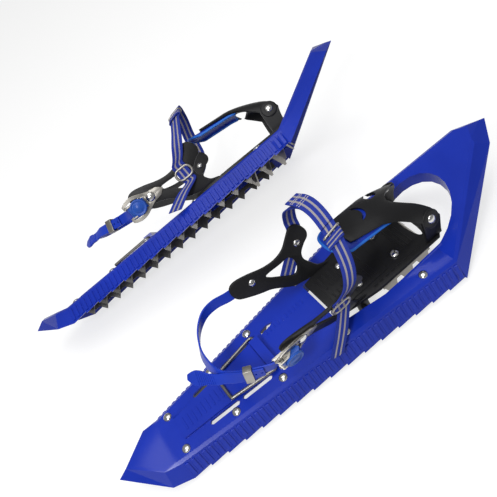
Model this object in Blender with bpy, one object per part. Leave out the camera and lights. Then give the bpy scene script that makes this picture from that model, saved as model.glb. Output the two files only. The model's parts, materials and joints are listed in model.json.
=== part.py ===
"""A pair of moulded plastic snowshoes with ratchet bindings.

Sizes are millimetres in a shoe frame: X right, Y forward, Z up from the foot of the side skirts.
Meshes are stored in metres. Every piece is modelled once and both shoes share its mesh: the
front shoe lies flat and the rear shoe is tipped up on its left rim.
"""
import math

import bmesh
import bpy
from mathutils import Matrix, Vector

MM = 0.001
GAP = 0.3

# Deck
TAIL_BEND = 16.0
FRONT_BEND = 472.0
RIM_TAIL = 55.5
RIM_FRONT = 108.0
FLARE = 15.0
DECK_TOP = 30.0
SKIN = 3.5
WALL = 3.0
STEP_COUNT = 16
STEP_RISE = 3.0
TAIL_PITCH = math.radians(15.0)
TAIL_CORNER = 22.0
TAIL_LENGTH = 62.0
TAIL_CORNER_INSET = 3.0
NOSE_PITCH = math.radians(31.0)
NOSE_CORNER = 125.0
NOSE_LENGTH = 138.0
NOSE_HALF = 20.5
NOSE_SKIRT = 25.0

# Binding position: pivot axle and top of the footplate
PIVOT_Y = 345.0
PLATE_LIFT = 8.0
PLATE_THICK = 5.0
PLATE_TOP = DECK_TOP + PLATE_LIFT
PLATE_HALF = 52.0
PLATE_FRONT = 145.0
PLATE_REAR = 39.0
BED_HALF = PLATE_HALF - 16.0
BED_RISE = 1.0
AXLE_DROP = 20.0
AXLE_RADIUS = 4.0

# Toe opening round the footplate
OPENING_HALF = PLATE_HALF + 7.0
OPENING_REAR_HALF = PLATE_HALF - 6.0
OPENING_REAR = PIVOT_Y - PLATE_REAR - 3.0
OPENING_FRONT = PIVOT_Y + PLATE_FRONT + 54.0
COLLAR_DEPTH = 20.0

# Traction rails
RAIL_FIRST = 33.0
RAIL_LAST = 429.0
RAIL_STATIONS = (0.0, 0.212, 0.409, 0.674, 1.0)
RAIL_INSET = 27.0
RAIL_WIDTH = 12.0
STEEL = 2.0
TOOTH_DROP = 8.0
RIVET_HEAD = 6.5
RIVET_DOME = 3.0
RIVET_SHANK = 3.0

# Tongue, heel lift bail and its socket block
TONGUE_RISE = 3.2
TONGUE_REAR = 40.0
TONGUE_HALF = 18.5
TONGUE_TAPER = 0.075
BAIL_Y = 197.0
BAIL_REACH = 74.0
BAIL_FRONT_HALF = 34.0
BAIL_REAR_HALF = 23.0
BAIL_RADIUS = 2.5
BLOCK_HALF = 26.0
BLOCK_LENGTH = 15.0

# Straps and wings
WING_THICK = 3.0
WING_INSET = 8.0
WING_LEAN_LEFT = 0.42
WING_LEAN_RIGHT = 0.25
STRAP_WIDTH = 16.0
STRAP_THICK = 2.6
KEEPER_KEY = 4
TAB_START = 10
KEEPER_HALF = 6.0
WEB_WIDTH = 22.0
WEB_THICK = 2.0
BAND_THICK = 3.0
LINER_LIMIT = math.radians(31.0)
WIRE = 1.6

# Buckle, measured back from its rivet along the right wing
BUCKLE_Y = -98.0
BUCKLE_Z = 44.0
BUCKLE_FRONT = 26.0
BUCKLE_REAR = 48.0
BUCKLE_HALF = 11.0
CHEEK_HEIGHT = 14.0
PIN_BACK = 38.0
PIN_OUT = 9.3
PIN_RADIUS = 2.0

# How the rear shoe stands beside the front one
TIP_ANGLE = math.radians(46.0)
HEADING = math.radians(-3.2)
REAR_RIM_X = -335.0
REAR_SHIFT_Y = -7.0


def clear_scene():
    for obj in list(bpy.data.objects):
        bpy.data.objects.remove(obj)


def link(name, data):
    obj = bpy.data.objects.new(name, data)
    bpy.context.scene.collection.objects.link(obj)
    return obj


def add_object(name, bm):
    bmesh.ops.recalc_face_normals(bm, faces=bm.faces)
    bm.transform(Matrix.Scale(MM, 4))
    mesh = bpy.data.meshes.new(name)
    bm.to_mesh(mesh)
    bm.free()
    return link(name, mesh)


def boolean(obj, tool, operation):
    """Join or cut with another object, which is used up."""
    modifier = obj.modifiers.new(operation.title(), 'BOOLEAN')
    modifier.operation = operation
    modifier.solver = 'EXACT'
    modifier.object = tool
    graph = bpy.context.evaluated_depsgraph_get()
    obj.data = bpy.data.meshes.new_from_object(obj.evaluated_get(graph))
    obj.modifiers.clear()
    bpy.data.objects.remove(tool)


def new_verts(bm, before):
    return [v for v in bm.verts if v not in before]


def prism(bm, outline, axis, low, high):
    """Straight prism of a flat outline, from low to high along an axis."""
    order = {'X': (2, 0, 1), 'Y': (0, 2, 1), 'Z': (0, 1, 2)}[axis]

    def place(point, height):
        flat = (point[0], point[1], height)
        return Vector([flat[i] for i in order])

    face = bm.faces.new([bm.verts.new(place(p, low)) for p in outline])
    grown = bmesh.ops.extrude_face_region(bm, geom=[face])['geom']
    moved = [g for g in grown if isinstance(g, bmesh.types.BMVert)]
    bmesh.ops.translate(bm, verts=moved, vec=place((0, 0), high) - place((0, 0), low))


def box(bm, x0, x1, y0, y1, z0, z1):
    prism(bm, [(x0, y0), (x1, y0), (x1, y1), (x0, y1)], 'Z', z0, z1)


def cylinder(bm, axis, centre, radius, low, high, sides=16):
    turn = 2 * math.pi / sides
    ring = [(centre[0] + radius * math.cos(turn * (i + 0.5)),
             centre[1] + radius * math.sin(turn * (i + 0.5))) for i in range(sides)]
    prism(bm, ring, axis, low, high)


def lathe(bm, profile, sides, frame):
    """Spin a profile of (radius, height) from axis to axis, then set it in a frame."""
    before = set(bm.verts)
    chain = [bm.verts.new((r, 0, h)) for r, h in profile]
    edges = [bm.edges.new(pair) for pair in zip(chain, chain[1:])]
    bmesh.ops.spin(bm, geom=chain + edges, cent=(0, 0, 0), axis=(0, 0, 1), dvec=(0, 0, 0),
                   angle=2 * math.pi, steps=sides, use_merge=True)
    bmesh.ops.remove_doubles(bm, verts=new_verts(bm, before), dist=0.001)
    bmesh.ops.transform(bm, matrix=frame, verts=new_verts(bm, before))


def rivet(bm, seat, direction, length, head=RIVET_HEAD, dome=RIVET_DOME, shank=RIVET_SHANK):
    """Domed rivet: head above its seat, shank below it."""
    profile = [(0, dome), (head * 0.6, dome * 0.72), (head, 0), (shank, 0), (shank, -length), (0, -length)]
    turn = Vector((0, 0, 1)).rotation_difference(Vector(direction)).to_matrix().to_4x4()
    lathe(bm, profile, 12, Matrix.Translation(seat) @ turn)


def tube(bm, path, radius, sides=8, closed=False):
    """Round wire along a path of points."""
    points = [Vector(p) for p in path]
    count = len(points)
    side = None
    rings = []
    for i, point in enumerate(points):
        ahead = points[(i + 1) % count] if closed or i < count - 1 else point
        behind = points[i - 1] if closed or i > 0 else point
        tangent = (ahead - behind).normalized()
        guess = side if side else tangent.orthogonal()
        side = (guess - tangent * guess.dot(tangent)).normalized()
        other = tangent.cross(side)
        spread = 1.0
        if (closed or 0 < i < count - 1):
            spread = 1.0 / max(0.6, tangent.dot((ahead - point).normalized()))
        ring = []
        for k in range(sides):
            angle = 2 * math.pi * k / sides
            spoke = side * math.cos(angle) + other * math.sin(angle)
            ring.append(bm.verts.new(point + spoke * radius * spread))
        rings.append(ring)
    spans = list(zip(rings, rings[1:]))
    if closed:
        spans.append((rings[-1], rings[0]))
    for a, b in spans:
        for k in range(sides):
            bm.faces.new((a[k], a[k - 1], b[k - 1], b[k]))
    if not closed:
        bm.faces.new(rings[0])
        bm.faces.new(rings[-1])


def sheet(bm, rows, thickness):
    """Thick sheet round a grid of points on its middle surface."""
    n, m = len(rows), len(rows[0])
    faces = ([], [])
    for i in range(n):
        lines = ([], [])
        for j in range(m):
            along = rows[min(i + 1, n - 1)][j] - rows[max(i - 1, 0)][j]
            across = rows[i][min(j + 1, m - 1)] - rows[i][max(j - 1, 0)]
            normal = along.cross(across).normalized() * (thickness / 2)
            lines[0].append(bm.verts.new(rows[i][j] + normal))
            lines[1].append(bm.verts.new(rows[i][j] - normal))
        faces[0].append(lines[0])
        faces[1].append(lines[1])
    for grid in faces:
        for i in range(n - 1):
            for j in range(m - 1):
                bm.faces.new((grid[i][j], grid[i + 1][j], grid[i + 1][j + 1], grid[i][j + 1]))
    edge = [(i, 0) for i in range(n)] + [(n - 1, j) for j in range(1, m)]
    edge += [(i, m - 1) for i in range(n - 2, -1, -1)] + [(0, j) for j in range(m - 2, 0, -1)]
    for (i, j), (k, l) in zip(edge, edge[1:] + edge[:1]):
        bm.faces.new((faces[0][i][j], faces[0][k][l], faces[1][k][l], faces[1][i][j]))


def smooth_path(points, per_span=3):
    """Points of a smooth curve through the given ones."""
    pts = [Vector(p) for p in points]
    result = []
    for i in range(len(pts) - 1):
        p0, p1, p2 = pts[max(i - 1, 0)], pts[i], pts[i + 1]
        p3 = pts[min(i + 2, len(pts) - 1)]
        for k in range(per_span):
            t = k / per_span
            result.append(0.5 * (2 * p1 + (p2 - p0) * t + (2 * p0 - 5 * p1 + 4 * p2 - p3) * t ** 2
                                 + (3 * p1 - p0 - 3 * p2 + p3) * t ** 3))
    return result + [pts[-1]]


def strap_rows(keys, width, per_span=3):
    """Grid for a flat strap through key points, each given with the direction of its width."""
    path = smooth_path([point for point, _ in keys], per_span)
    sides = smooth_path([Vector(across).normalized() for _, across in keys], per_span)
    return [[p - a.normalized() * (width / 2), p + a.normalized() * (width / 2)] for p, a in zip(path, sides)]


def bind(x, y, z):
    """Binding point: Y from the pivot axle, Z from the top of the footplate."""
    return Vector((x, PIVOT_Y + y, PLATE_TOP + z))


def over(x, y, z):
    """Binding point whose X is a share of the footplate's half width."""
    return bind(x * PLATE_HALF, y, z)


def rim_half(y):
    return RIM_TAIL + (RIM_FRONT - RIM_TAIL) * (y - TAIL_BEND) / (FRONT_BEND - TAIL_BEND)


def deck_height(y):
    if y > FRONT_BEND:
        return DECK_TOP + (y - FRONT_BEND) * math.tan(NOSE_PITCH)
    if y < TAIL_BEND:
        return DECK_TOP + (TAIL_BEND - y) * math.tan(TAIL_PITCH)
    return DECK_TOP


def half_stations():
    """Right side of the deck from tail tip to nose tip: top point and low points of each station."""
    corner_y = TAIL_BEND - TAIL_CORNER
    tip_y = TAIL_BEND - TAIL_LENGTH
    corner_x = RIM_TAIL - FLARE - TAIL_CORNER_INSET
    stations = [
        (Vector((0, tip_y, deck_height(tip_y))), [Vector((0, tip_y - 20, deck_height(tip_y) - 11))]),
        (Vector((corner_x, corner_y, deck_height(corner_y))),
         [Vector((corner_x + 13, corner_y - 8, deck_height(corner_y) - 26))]),
    ]
    pitch = (FRONT_BEND - TAIL_BEND) / STEP_COUNT
    for i in range(STEP_COUNT + 1):
        y = TAIL_BEND + i * pitch
        rim = rim_half(y)
        lows = [Vector((rim - FLARE * STEP_RISE / DECK_TOP, y, STEP_RISE))] if i else []
        lows.append(Vector((rim, y, 0)))
        stations.append((Vector((rim - FLARE, y, DECK_TOP)), lows))
    along = Vector((0, math.cos(NOSE_PITCH), math.sin(NOSE_PITCH)))
    down = Vector((0, math.sin(NOSE_PITCH), -math.cos(NOSE_PITCH)))
    corner = Vector((NOSE_HALF, FRONT_BEND + NOSE_CORNER, deck_height(FRONT_BEND + NOSE_CORNER)))
    tip = Vector((0, FRONT_BEND + NOSE_LENGTH, deck_height(FRONT_BEND + NOSE_LENGTH)))
    stations.append((corner, [corner + Vector((8.5, 0, 0)) + along * 9 + down * NOSE_SKIRT]))
    stations.append((tip, [tip + along * 17.5 + down * (NOSE_SKIRT - 4)]))
    return stations


def flip(point):
    return Vector((-point.x, point.y, point.z))


def miters(tops):
    """Inward plan offset of each corner of a closed outline for a wall one unit thick."""
    result = []
    for i, point in enumerate(tops):
        a = (point - tops[i - 1]).xy.normalized()
        b = (tops[(i + 1) % len(tops)] - point).xy.normalized()
        left = Vector((-a.y - b.y, a.x + b.x)).normalized()
        reach = 1 / max(0.4, left.dot(Vector((-a.y, a.x))))
        result.append(Vector((left.x * reach, left.y * reach, 0)))
    return result


def deck_tray():
    """Inverted tray with stepped skirts: outer skin, inner skin and the rim between them."""
    right = half_stations()
    tops = [top for top, _ in right]
    inward = miters(tops + [flip(top) for top in reversed(tops[1:-1])])
    bm = bmesh.new()
    skins = []
    for wall, skin in ((0.0, 0.0), (WALL, SKIN)):
        stations = []
        for (top, lows), shift in zip(right, inward):
            crown = bm.verts.new(top + shift * wall - Vector((0, 0, skin)))
            stations.append((crown, [bm.verts.new(p + shift * wall) for p in lows]))
        for a, b in zip(stations, stations[1:]):
            bm.faces.new([a[0]] + a[1] + [b[1][0], b[0]])
        crowns = [crown for crown, _ in stations]
        middle = [bm.verts.new((0, bend.co.y, bend.co.z)) for bend in (crowns[2], crowns[-3])]
        bm.faces.new(crowns[:3] + [middle[0]])
        bm.faces.new(crowns[2:-2] + [middle[1], middle[0]])
        bm.faces.new(crowns[-3:] + [middle[1]])
        skins.append([lows for _, lows in stations])
    outer, inner = skins
    for i in range(len(right)):
        for k in range(len(outer[i]) - 1):
            bm.faces.new((outer[i][k], outer[i][k + 1], inner[i][k + 1], inner[i][k]))
        if i:
            bm.faces.new((outer[i - 1][-1], outer[i][0], inner[i][0], inner[i - 1][-1]))
    bmesh.ops.mirror(bm, geom=bm.verts[:] + bm.edges[:] + bm.faces[:], axis='X', merge_dist=0.01)
    return add_object('deck', bm)


def opening_outline(grow=0.0):
    """Plan of the toe opening, grown sideways all round."""
    start = PIVOT_Y + PLATE_FRONT - 8
    right = [(OPENING_REAR_HALF + grow, OPENING_REAR - grow),
             (OPENING_HALF + grow, PIVOT_Y + 30)]
    for i in range(7):
        angle = math.radians(15 * i)
        right.append(((OPENING_HALF + grow) * math.cos(angle) if i < 6 else 0,
                      start + (OPENING_FRONT + grow - start) * math.sin(angle)))
    return right + [(-x, y) for x, y in reversed(right[:-1])]


def rail_x(y):
    """Middle of the right traction rail."""
    return rim_half(y) - RAIL_INSET


def rail_rivet_spots():
    return [RAIL_FIRST + (RAIL_LAST - RAIL_FIRST) * s for s in RAIL_STATIONS]


def slot_outline(y0, y1, x0, x1, width):
    """Long slot along the tongue with rounded ends."""
    half = width / 2
    return [(x0 - half, y0), (x0, y0 - half), (x0 + half, y0),
            (x1 + half, y1), (x1, y1 + half), (x1 - half, y1)]


def finger_hole():
    """Plan of the wedge-shaped hole in front of a bail end, Y from the bail."""
    edge = BAIL_FRONT_HALF
    return [(edge - 4, 14), (edge + 2, 15), (edge + 4, 27), (edge + 1, 38), (edge - 2.5, 31)]


def tongue_half(y):
    return TONGUE_HALF + TONGUE_TAPER * (y - TONGUE_REAR)


def build_deck():
    deck = deck_tray()
    extra = bmesh.new()
    collar_in, collar_out = opening_outline(GAP), opening_outline(GAP + WALL)
    rings = []
    for outline, drop in ((collar_in, 1.5), (collar_out, 1.5),
                          (collar_out, COLLAR_DEPTH), (collar_in, COLLAR_DEPTH)):
        rings.append([extra.verts.new((x, y, deck_height(y) - drop)) for x, y in outline])
    count = len(collar_in)
    for a, b in zip(rings, rings[1:] + rings[:1]):
        for i in range(count):
            extra.faces.new((a[i - 1], a[i], b[i], b[i - 1]))
    boolean(deck, add_object('collar', extra), 'UNION')

    raised = bmesh.new()
    rear, front = TONGUE_REAR, BAIL_Y - BLOCK_LENGTH / 2 - 1
    tongue = [(tongue_half(rear), rear), (tongue_half(front), front)]
    prism(raised, tongue + [(-x, y) for x, y in reversed(tongue)], 'Z', DECK_TOP - 1, DECK_TOP + TONGUE_RISE)
    box(raised, -BLOCK_HALF, BLOCK_HALF, BAIL_Y - BLOCK_LENGTH / 2, BAIL_Y + BLOCK_LENGTH / 2,
        DECK_TOP - 1, DECK_TOP + 4 * BAIL_RADIUS + 1.5)
    boolean(deck, add_object('raised', raised), 'UNION')

    cuts = bmesh.new()
    prism(cuts, opening_outline(), 'Z', -60, 200)
    for side in (-1, 1):
        for y0, y1 in ((82, 126), (138, BAIL_Y - BLOCK_LENGTH)):
            slot = slot_outline(y0, y1, tongue_half(y0) + 5.5, tongue_half(y1) + 5.5, 7.5)
            prism(cuts, [(side * x, y) for x, y in slot], 'Z', DECK_TOP - 12, DECK_TOP + 12)
        prism(cuts, [(side * x, BAIL_Y + y) for x, y in finger_hole()], 'Z', DECK_TOP - 12, DECK_TOP + 12)
        for y in rail_rivet_spots():
            cylinder(cuts, 'Z', (side * rail_x(y), y), RIVET_SHANK + GAP, DECK_TOP - 12, DECK_TOP + 12, 12)
    boolean(deck, add_object('cuts', cuts), 'DIFFERENCE')

    bores = bmesh.new()
    reach = OPENING_HALF + 2
    cylinder(bores, 'X', (PIVOT_Y, PLATE_TOP - AXLE_DROP), AXLE_RADIUS + GAP, -reach, reach)
    reach = BLOCK_HALF + 5
    cylinder(bores, 'X', (BAIL_Y, DECK_TOP + bail_height()), BAIL_RADIUS + GAP, -reach, reach)
    boolean(deck, add_object('bores', bores), 'DIFFERENCE')
    return deck


def bail_height():
    """Height of the bail wire's middle above the deck: it lies on the tongue."""
    return TONGUE_RISE + GAP + BAIL_RADIUS


def build_rail(side):
    """Angle strip with saw teeth; its rivets are set through the deck."""
    rear, front = RAIL_FIRST - 10, RAIL_LAST + 12
    top = DECK_TOP - SKIN - GAP
    pitch = (FRONT_BEND - TAIL_BEND) / STEP_COUNT
    count = int((front - rear) // pitch)
    start = rear + (front - rear - count * pitch) / 2
    lower = [(rear, 4.0)]
    for i in range(count):
        y = start + i * pitch
        lower += [(y + 0.18 * pitch, 4.0), (y + 0.5 * pitch, -TOOTH_DROP), (y + 0.82 * pitch, 4.0)]
    lower.append((front, 4.0))
    web = bmesh.new()
    prism(web, lower + [(front, top), (rear, top)], 'X', RAIL_WIDTH / 2 - STEEL, RAIL_WIDTH / 2)
    rail = add_object('rail', web)
    flange = bmesh.new()
    box(flange, -RAIL_WIDTH / 2, RAIL_WIDTH / 2 - 0.5, rear + 0.5, front - 0.5, top - STEEL, top - 0.01)
    boolean(rail, add_object('flange', flange), 'UNION')
    rivets = bmesh.new()
    for y in rail_rivet_spots():
        rivet(rivets, Vector((0, y, DECK_TOP + GAP)), (0, 0, 1), SKIN + GAP + 2 * GAP + 0.5 * STEEL)
    boolean(rail, add_object('rivets', rivets), 'UNION')
    lean = rail_x(front) - rail_x(rear)
    for vertex in rail.data.vertices:
        share = (vertex.co.y / MM - rear) / (front - rear)
        vertex.co.x = side * (vertex.co.x + (rail_x(rear) + lean * share) * MM)
    if side < 0:
        rail.data.flip_normals()
    return rail


def build_axle():
    bm = bmesh.new()
    cylinder(bm, 'X', (PIVOT_Y, PLATE_TOP - AXLE_DROP), AXLE_RADIUS, -OPENING_HALF - 1, OPENING_HALF + 1)
    return add_object('axle', bm)


def crampon_top():
    return -PLATE_THICK - GAP


def plate_rivet_spots():
    return [(27 - PLATE_HALF, 81), (PLATE_HALF - 27, 81)]


def build_plate():
    half, front, rear = PLATE_HALF, PLATE_FRONT, -PLATE_REAR
    right = [(half - 12, rear), (half - 6, -10), (half, 30), (half, front - 4), (half - 4, front)]
    outline = [(x, PIVOT_Y + y) for x, y in right]
    bm = bmesh.new()
    prism(bm, outline + [(-x, y) for x, y in reversed(outline)], 'Z', PLATE_TOP - PLATE_THICK, PLATE_TOP)
    plate = add_object('plate', bm)
    lugs = bmesh.new()
    for side in (-1, 1):
        x0, x1 = sorted((side * (half - 11), side * (half - 7)))
        box(lugs, x0, x1, PIVOT_Y - 9, PIVOT_Y + 9, PLATE_TOP - AXLE_DROP - 7, PLATE_TOP - 1)
    boolean(plate, add_object('lugs', lugs), 'UNION')
    bed = bmesh.new()
    box(bed, -BED_HALF, BED_HALF, PIVOT_Y - 27, PIVOT_Y + 59, PLATE_TOP - 1, PLATE_TOP + BED_RISE)
    boolean(plate, add_object('bed', bed), 'UNION')
    cuts = bmesh.new()
    cylinder(cuts, 'X', (PIVOT_Y, PLATE_TOP - AXLE_DROP), AXLE_RADIUS + GAP, -half, half)
    for x, y in plate_rivet_spots():
        cylinder(cuts, 'Z', (x, PIVOT_Y + y), RIVET_SHANK + GAP, PLATE_TOP - 12, PLATE_TOP + 5, 12)
    window = [(PLATE_HALF * 0.6 * math.cos(a), PIVOT_Y + front - 17 + 7 * math.sin(a))
              for a in (math.pi * k / 8 for k in range(16))]
    prism(cuts, window, 'Z', PLATE_TOP - 12, PLATE_TOP + 5)
    boolean(plate, add_object('cuts', cuts), 'DIFFERENCE')
    return plate


def build_crampon():
    """Steel channel under the footplate with splayed claws at its sides and front."""
    top = PLATE_TOP + crampon_top()
    rear, front, half = PIVOT_Y + 37, PIVOT_Y + 125, PLATE_HALF - 12
    foot = -TOOTH_DROP
    bm = bmesh.new()
    box(bm, -half, half, rear, front, top - STEEL, top)
    crampon = add_object('crampon', bm)
    for side in (-1, 1):
        claws = bmesh.new()
        lower = []
        for k in range(3):
            y = rear + 14 + 30 * k
            lower += [(y - 12, 16.0), (y - 2, foot), (y + 2, foot), (y + 10, 16.0)]
        x0, x1 = sorted((side * half, side * (half - STEEL)))
        prism(claws, [(rear, 16.0)] + lower + [(front, 16.0), (front, top), (rear, top)], 'X', x0, x1)
        for vertex in claws.verts:
            vertex.co.x += side * 0.25 * (top - vertex.co.z)
        boolean(crampon, add_object('claws', claws), 'UNION')
    nose = bmesh.new()
    span = half - 6
    lower = [(-span, 18), (-span + 6, 2), (-span + 20, 18), (span - 20, 18), (span - 6, 2), (span, 18)]
    prism(nose, lower + [(span, top), (-span, top)], 'Y', front - STEEL, front)
    for vertex in nose.verts:
        vertex.co.y += 0.45 * (top - vertex.co.z)
    boolean(crampon, add_object('nose', nose), 'UNION')
    cuts = bmesh.new()
    for x, y in plate_rivet_spots():
        cylinder(cuts, 'Z', (x, PIVOT_Y + y), RIVET_SHANK + GAP, top - 10, top + 4, 12)
    boolean(crampon, add_object('cuts', cuts), 'DIFFERENCE')
    return crampon


def build_plate_rivet(index):
    x, y = plate_rivet_spots()[index]
    bm = bmesh.new()
    rivet(bm, bind(x, y, GAP), (0, 0, 1), PLATE_THICK + 2 * GAP + STEEL + 1.5)
    return add_object('rivet', bm)


def toe_point(angle, y, inset=0.0):
    """Point on the boxy toe form over the footplate: angle from straight up, Y from the pivot."""
    front = max(0.0, (y - 75) / 65)
    height = 80 - 25 * front ** 1.5 + 0.12 * max(0.0, 75 - y) - inset
    half = PLATE_HALF - 4 - inset
    s, c = math.sin(angle), max(0.0, math.cos(angle))
    x = math.copysign(half * abs(s) ** 0.6, s)
    return bind(x, y, GAP + height * c ** 0.6)


def toe_edges(angle):
    """Rear and front edge of the toe cradle at an angle: a long saddle on top, arms down to the lugs."""
    turns = [(0, 30, 112), (6, 30, 119), (19, 32, 135), (28, 80, 142), (40, 101, 149), (64, 125, 155), (90, 122, 148)]
    degrees = abs(math.degrees(angle))
    for (a0, r0, f0), (a1, r1, f1) in zip(turns, turns[1:]):
        if degrees <= a1 + 0.001:
            share = (degrees - a0) / (a1 - a0)
            shift = PLATE_FRONT - 145.0
            return r0 + (r1 - r0) * share + shift, f0 + (f1 - f0) * share + shift


def toe_rows(limit, count, edges, inset):
    rows = []
    for i in range(count):
        angle = limit * (2 * i / (count - 1) - 1)
        y0, y1 = edges(angle)
        rows.append([toe_point(angle, y0 + (y1 - y0) * k / 4, inset) for k in range(5)])
    return rows


def toe_rivet_frame(side):
    angle = side * math.radians(64)
    y = PLATE_FRONT - 5
    point = toe_point(angle, y)
    step = 0.02
    along = toe_point(angle + step, y) - toe_point(angle - step, y)
    across = toe_point(angle, y + 1) - toe_point(angle, y - 1)
    normal = along.cross(across).normalized()
    if normal.x * side < 0:
        normal = -normal
    return point, normal


def build_toe_band():
    """Saddle over the toes whose arms stand on the front corners of the footplate."""
    bm = bmesh.new()
    sheet(bm, toe_rows(math.radians(90), 31, toe_edges, 0.0), BAND_THICK)
    band = add_object('band', bm)
    cuts = bmesh.new()
    for side in (-1, 1):
        point, normal = toe_rivet_frame(side)
        turn = Vector((0, 0, 1)).rotation_difference(normal).to_matrix().to_4x4()
        radius = RIVET_SHANK + GAP
        lathe(cuts, [(0, 8), (radius, 8), (radius, -8), (0, -8)], 12, Matrix.Translation(point) @ turn)
    for outline in (toe_window(), toe_crescent()):
        prism(cuts, [(x, PIVOT_Y + y) for x, y in outline], 'Z', PLATE_TOP + 30, PLATE_TOP + 110)
    boolean(band, add_object('cuts', cuts), 'DIFFERENCE')
    return band


def toe_window():
    """Plan of the window between saddle and left arm."""
    plan = [(-0.75, 103), (-0.596, 112), (-0.423, 113), (-0.327, 104), (-0.346, 97), (-0.519, 94)]
    return [(x * PLATE_HALF, y) for x, y in plan]


def toe_crescent():
    """Plan of the crescent slot in the saddle."""
    outer = [(0.31 * math.cos(a), 15 * math.sin(a)) for a in (math.radians(10 + 32 * k) for k in range(6))]
    inner = [(0.23 * math.cos(a), 10 * math.sin(a)) for a in (math.radians(154 - 32 * k) for k in range(5))]
    return [((x - 0.115) * PLATE_HALF, 64 + y) for x, y in outer + inner]


def liner_edges(angle):
    front = PLATE_FRONT - 52
    rear = 5 + 22 * (1 - math.cos(angle)) / (1 - math.cos(LINER_LIMIT))
    return rear, front


def build_toe_liner():
    """Soft pad under the saddle, reaching back under the instep strap."""
    bm = bmesh.new()
    sheet(bm, toe_rows(LINER_LIMIT, 13, liner_edges, BAND_THICK + GAP + 0.8), BAND_THICK)
    return add_object('liner', bm)


def build_toe_rivet(side):
    point, normal = toe_rivet_frame(side)
    bm = bmesh.new()
    rivet(bm, point + normal * (BAND_THICK / 2 + GAP + 0.35), normal, BAND_THICK + 2 * GAP, dome=RIVET_DOME)
    return add_object('toe_rivet', bm)


def wing_lean(side):
    """Outward lean of a wing: the left one, with no strap buckled to it, lies further out."""
    return WING_LEAN_RIGHT if side > 0 else WING_LEAN_LEFT


def wing_x(side, z):
    """Middle of a heel wing at a height above the footplate."""
    return side * (PLATE_HALF - WING_INSET + wing_lean(side) * z)


def wing_outline():
    """Side view of a wing, Y from the pivot: foot, upper lug and long rear arm."""
    return [(10, GAP), (-3, 6), (-10, 16), (-15.5, 27), (-13, 37), (-2, 45), (8, 50), (12, 58), (9, 68),
            (2, 75), (-8, 75), (-20, 67), (-34, 58), (-52, 54.5), (-72, 57), (-94, 64), (-114, 68.5),
            (-126, 66), (-130, 57), (-126, 46), (-112, 38), (-96, 31), (-80, 25), (-66, 16), (-52, 7),
            (-38, 3), (-24, GAP)]


def wing_window():
    return [(-73, 46), (-48, 45), (-34, 45), (-28, 37), (-30, 25), (-40, 18.5), (-60, 31), (-72, 40)]


def wing_frame(side, y, z):
    """Frame on the outside of a heel wing: X back, Y up the wing, Z outward."""
    lean = wing_lean(side)
    back = Vector((0, -1, 0))
    up = Vector((side * lean, 0, 1)).normalized()
    out = Vector((side, 0, -lean)).normalized()
    seat = bind(wing_x(side, z), y, z) + out * wing_half(side)
    frame = Matrix((back, up, out)).transposed().to_4x4()
    frame.translation = seat
    return frame


def wing_half(side):
    """Half the wing's thickness square to its leaning face."""
    return WING_THICK / 2 / math.hypot(1, wing_lean(side))


def build_wing(side):
    bm = bmesh.new()
    outline = [(PIVOT_Y + y, PLATE_TOP + z) for y, z in wing_outline()]
    prism(bm, outline, 'X', -WING_THICK / 2, WING_THICK / 2)
    wing = add_object('wing', bm)
    cuts = bmesh.new()
    prism(cuts, [(PIVOT_Y + y, PLATE_TOP + z) for y, z in wing_window()], 'X', -9, 9)
    spots = [(BUCKLE_Y, BUCKLE_Z, RIVET_SHANK + 1.8)] if side > 0 else wing_rivet_spots()
    for y, z, radius in spots:
        cylinder(cuts, 'X', (PIVOT_Y + y, PLATE_TOP + z), radius, -9, 9, 12)
    boolean(wing, add_object('cuts', cuts), 'DIFFERENCE')
    for vertex in wing.data.vertices:
        vertex.co.x += wing_x(side, vertex.co.z / MM - PLATE_TOP) * MM
    return wing


def wing_rivet_spots():
    """Rivets of the left wing: place and radius of their holes. They also hold the straps outside it."""
    radius = RIVET_SHANK + 0.8
    return [(-10, 52, radius), (-96, 51, radius)]


def wing_rivet(bm, index, radius, spare):
    """Rivet with its head on the inner face of the left wing."""
    y, z, _ = wing_rivet_spots()[index]
    frame = wing_frame(-1, y, z)
    out = frame.col[2].xyz
    inner = frame.translation - out * (2 * wing_half(-1) + GAP)
    length = 2 * wing_half(-1) + (WEB_THICK, STRAP_THICK)[index] + 3 * GAP + spare
    rivet(bm, inner, -out, length, RIVET_HEAD - 1, RIVET_DOME - 0.5, radius)


def build_wing_rivet(index):
    bm = bmesh.new()
    wing_rivet(bm, index, RIVET_SHANK, 0.0)
    return add_object('wing_rivet', bm)


def pierce(obj, index):
    """Hole in a strap for the shank of a wing rivet."""
    cut = bmesh.new()
    wing_rivet(cut, index, RIVET_SHANK + 0.8, 6.0)
    boolean(obj, add_object('cut', cut), 'DIFFERENCE')


def buckle_frame_matrix():
    return wing_frame(1, BUCKLE_Y, BUCKLE_Z)


def set_in_frame(bm, frame):
    bmesh.ops.transform(bm, matrix=frame, verts=bm.verts)


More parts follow.
